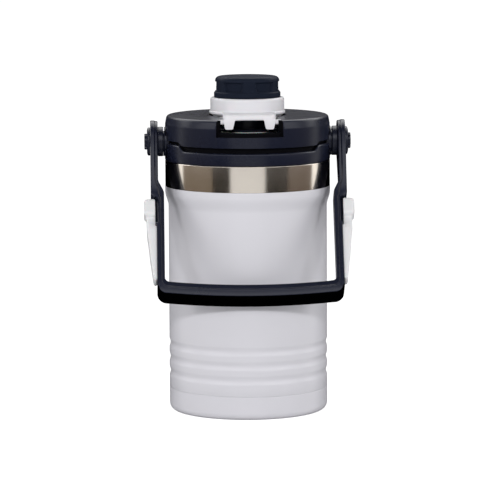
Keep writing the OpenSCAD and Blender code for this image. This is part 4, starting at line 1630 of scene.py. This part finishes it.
@dataclass
class Studio:
    """The floor, the lights, what the jug reflects, and the camera."""

    target_height: float = 129.4
    distance: float = 2776.7
    pitch_deg: float = 6.977
    azimuth_deg: float = 1.75
    roll_deg: float = 0.253
    shift: float = 0.0042
    lens: float = 246.8
    floor_size: float = 12.0
    floor_lift: float = 0.74
    ambient: float = 0.36

    def build_camera(self) -> None:
        """A long lens in front of the jug, a little above it and to its left."""
        pitch, azimuth, roll = (math.radians(a) for a in (self.pitch_deg, self.azimuth_deg, self.roll_deg))
        forward = Vector((math.sin(azimuth) * math.cos(pitch), math.cos(azimuth) * math.cos(pitch),
                          -math.sin(pitch)))
        right = Vector((math.cos(azimuth), -math.sin(azimuth), 0))
        up = right.cross(forward)
        rolled_right = right * math.cos(roll) - up * math.sin(roll)
        rolled_up = right * math.sin(roll) + up * math.cos(roll)
        place = Vector((0, 0, self.target_height * MM)) - forward * self.distance * MM
        data = bpy.data.cameras.new("camera")
        data.lens, data.sensor_width, data.shift_x = self.lens, 36.0, self.shift
        data.clip_end = 50
        camera = bpy.data.objects.new("camera", data)
        bpy.context.scene.collection.objects.link(camera)
        rotation = Matrix((rolled_right, rolled_up, -forward)).transposed().to_4x4()
        camera.matrix_world = Matrix.Translation(place) @ rotation
        bpy.context.scene.camera = camera

    def build_floor(self) -> None:
        """A plain pale floor that looks nearly white."""
        bm = bmesh.new()
        bmesh.ops.create_circle(bm, cap_ends=True, segments=96, radius=self.floor_size)
        mesh = bpy.data.meshes.new("floor")
        bm.to_mesh(mesh)
        bm.free()
        floor = bpy.data.objects.new("floor", mesh)
        bpy.context.scene.collection.objects.link(floor)
        material, nodes, shader = start_material("pale_floor")
        place = nodes.add("TexCoord").outputs["Object"]
        tone = nodes.add("TexNoise", None, Vector=place, Scale=3.0, Detail=2.0).outputs[0]
        base = mix_colours(nodes, tone, (0.84, 0.84, 0.84), (0.86, 0.86, 0.86))
        nodes.tree.links.new(base, shader.inputs["Base Color"])
        shader.inputs["Roughness"].default_value = 0.9
        shader.inputs["Specular IOR Level"].default_value = 0.0
        rays = nodes.add("LightPath")
        lift = nodes.add("Emission", None, Strength=nodes.math("MULTIPLY", rays.outputs["Is Camera Ray"],
                                                               self.floor_lift))
        both = nodes.add("AddShader", None, i0=shader.outputs[0], i1=lift.outputs[0])
        output = next(n for n in nodes.tree.nodes if n.type == "OUTPUT_MATERIAL")
        nodes.tree.links.new(both.outputs[0], output.inputs["Surface"])
        floor.data.materials.append(material)
        floor.visible_glossy = False

    def ramp(self, nodes: NodeBuilder, value: bpy.types.NodeSocket, zones: Sequence[tuple[float, Zone]],
             low: float, high: float, blend: float) -> bpy.types.NodeSocket:
        """A colour ramp that steps from zone to zone.

        Args:
            nodes: the world's builder.
            value: the angle in degrees.
            zones: where each zone starts, in degrees.
            low: the first angle.
            high: the last angle.
            blend: how many degrees a step takes.

        Returns:
            The colour, as a share of the brightest zone.
        """
        share = nodes.add("MapRange", {"clamp": True}, Value=value, From_Min=low, From_Max=high).outputs[0]
        ramp_node = nodes.add("ValToRGB", None, Fac=share)
        stops: list[tuple[float, Zone]] = [(low, zones[0][1])]
        for (_, before), (start, zone) in zip(zones, zones[1:]):
            stops += [(start - blend / 2, before), (start + blend / 2, zone)]
        elements = ramp_node.color_ramp.elements
        while len(elements) < len(stops):
            elements.new(0.5)
        for element, (angle, zone) in zip(elements, stops):
            element.position = (angle - low) / (high - low)
            element.color = (*(part / ZONE_PEAK for part in zone.value), 1)
        return ramp_node.outputs[0]

    def build_world(self) -> None:
        """White surroundings, with windows, flags and softboxes that only reflections see."""
        world = bpy.data.worlds.new("studio")
        bpy.context.scene.world = world
        world.use_nodes = True
        tree = world.node_tree
        tree.nodes.clear()
        nodes = NodeBuilder(tree)
        direction = nodes.add("SeparateXYZ", None, Vector=nodes.add("TexCoord").outputs["Generated"])
        front = nodes.math("MULTIPLY", direction.outputs["Y"], -1.0)
        azimuth = nodes.math("DEGREES", nodes.math("ARCTAN2", direction.outputs["X"], front))
        around = self.ramp(nodes, azimuth, [
            (-180, Zone.BLACK), (-114, Zone.STRIP), (-104, Zone.LEFT_WALL), (-52, Zone.FLAG),
            (-26, Zone.WINDOW), (23, Zone.FLAG), (57, Zone.RIGHT_WALL), (100, Zone.STRIP),
            (114, Zone.BLACK)], -180, 180, 2.0)
        climb = nodes.math("DEGREES", nodes.math("ARCTAN2", direction.outputs["Z"], front))
        above = self.ramp(nodes, climb, [
            (0, Zone.FLAG), (18, Zone.FRONT_SOFTBOX), (50, Zone.TOP_GAP), (101, Zone.TOP_SOFTBOX),
            (150, Zone.BACK_WALL)], 0, 180, 8.0)
        high = nodes.add("MapRange", {"clamp": True}, Value=direction.outputs["Z"], From_Min=0.02,
                         From_Max=0.24).outputs[0]
        seen = nodes.add("Mix", {"data_type": "RGBA"})
        colours = [socket for socket in seen.inputs if socket.type == "RGBA"]
        tree.links.new(high, seen.inputs["Factor"])
        tree.links.new(around, colours[0])
        tree.links.new(above, colours[1])
        rays = nodes.add("LightPath")
        plain = nodes.add("Background", None, Color=(1, 1, 1, 1), Strength=self.ambient)
        mirrored = nodes.add("Background", None, Strength=ZONE_PEAK)
        tree.links.new(next(s for s in seen.outputs if s.type == "RGBA"), mirrored.inputs["Color"])
        by_gloss = nodes.add("MixShader", None, Fac=rays.outputs["Is Glossy Ray"], i1=plain.outputs[0],
                             i2=mirrored.outputs[0])
        output = nodes.add("OutputWorld")
        tree.links.new(by_gloss.outputs[0], output.inputs["Surface"])
        world.cycles.sampling_method = "NONE"

    def add_light(self, name: str, place: tuple[float, float, float], size: float, watts: float) -> None:
        """Adds a square soft light aimed at the jug.

        Args:
            name: its name.
            place: where it stands, in metres.
            size: its side, in metres.
            watts: its power.
        """
        data = bpy.data.lights.new(name, "AREA")
        data.size, data.energy = size, watts
        light = bpy.data.objects.new(name, data)
        bpy.context.scene.collection.objects.link(light)
        aim = Vector((0, 0, self.target_height * MM)) - Vector(place)
        light.matrix_world = Matrix.Translation(place) @ aim.to_track_quat("-Z", "Y").to_matrix().to_4x4()
        light.visible_glossy = False

    def build(self) -> None:
        """Sets the stage."""
        self.build_camera()
        self.build_floor()
        self.build_world()
        self.add_light("left_softbox", (-1.6, -1.35, 0.75), 0.5, 6.0)
        self.add_light("right_softbox", (1.6, -1.35, 0.75), 0.5, 6.0)
        self.add_light("left_fill", (-2.2, 0.1, 0.5), 0.8, 9.0)
        self.add_light("right_fill", (2.2, 0.1, 0.5), 0.8, 9.0)
        self.add_light("key_softbox", (-0.1, -2.15, 0.95), 0.24, 20.5)
        bpy.context.scene.view_settings.view_transform = "Standard"
        log.info("stage set")


def write_sizes() -> None:
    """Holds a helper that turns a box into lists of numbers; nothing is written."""
    def plain(bounds: object) -> list[list[float]]:
        """A box as lists of numbers."""
        return [[float(value) for value in corner] for corner in bounds]


def main() -> None:
    """Builds the jug and its stage."""
    logging.basicConfig(level=logging.INFO, format="%(name)s: %(message)s")
    studio = Studio()
    studio.build()
    shop = Workshop(Palette())
    for assembly in (Flask(shop), Lid(shop), CapCarrier(shop), TwistCap(shop), Bail(shop)):
        assembly.build()
        log.info("%s done", type(assembly).__name__)
    write_sizes()


if __name__ == "__main__":
    main()
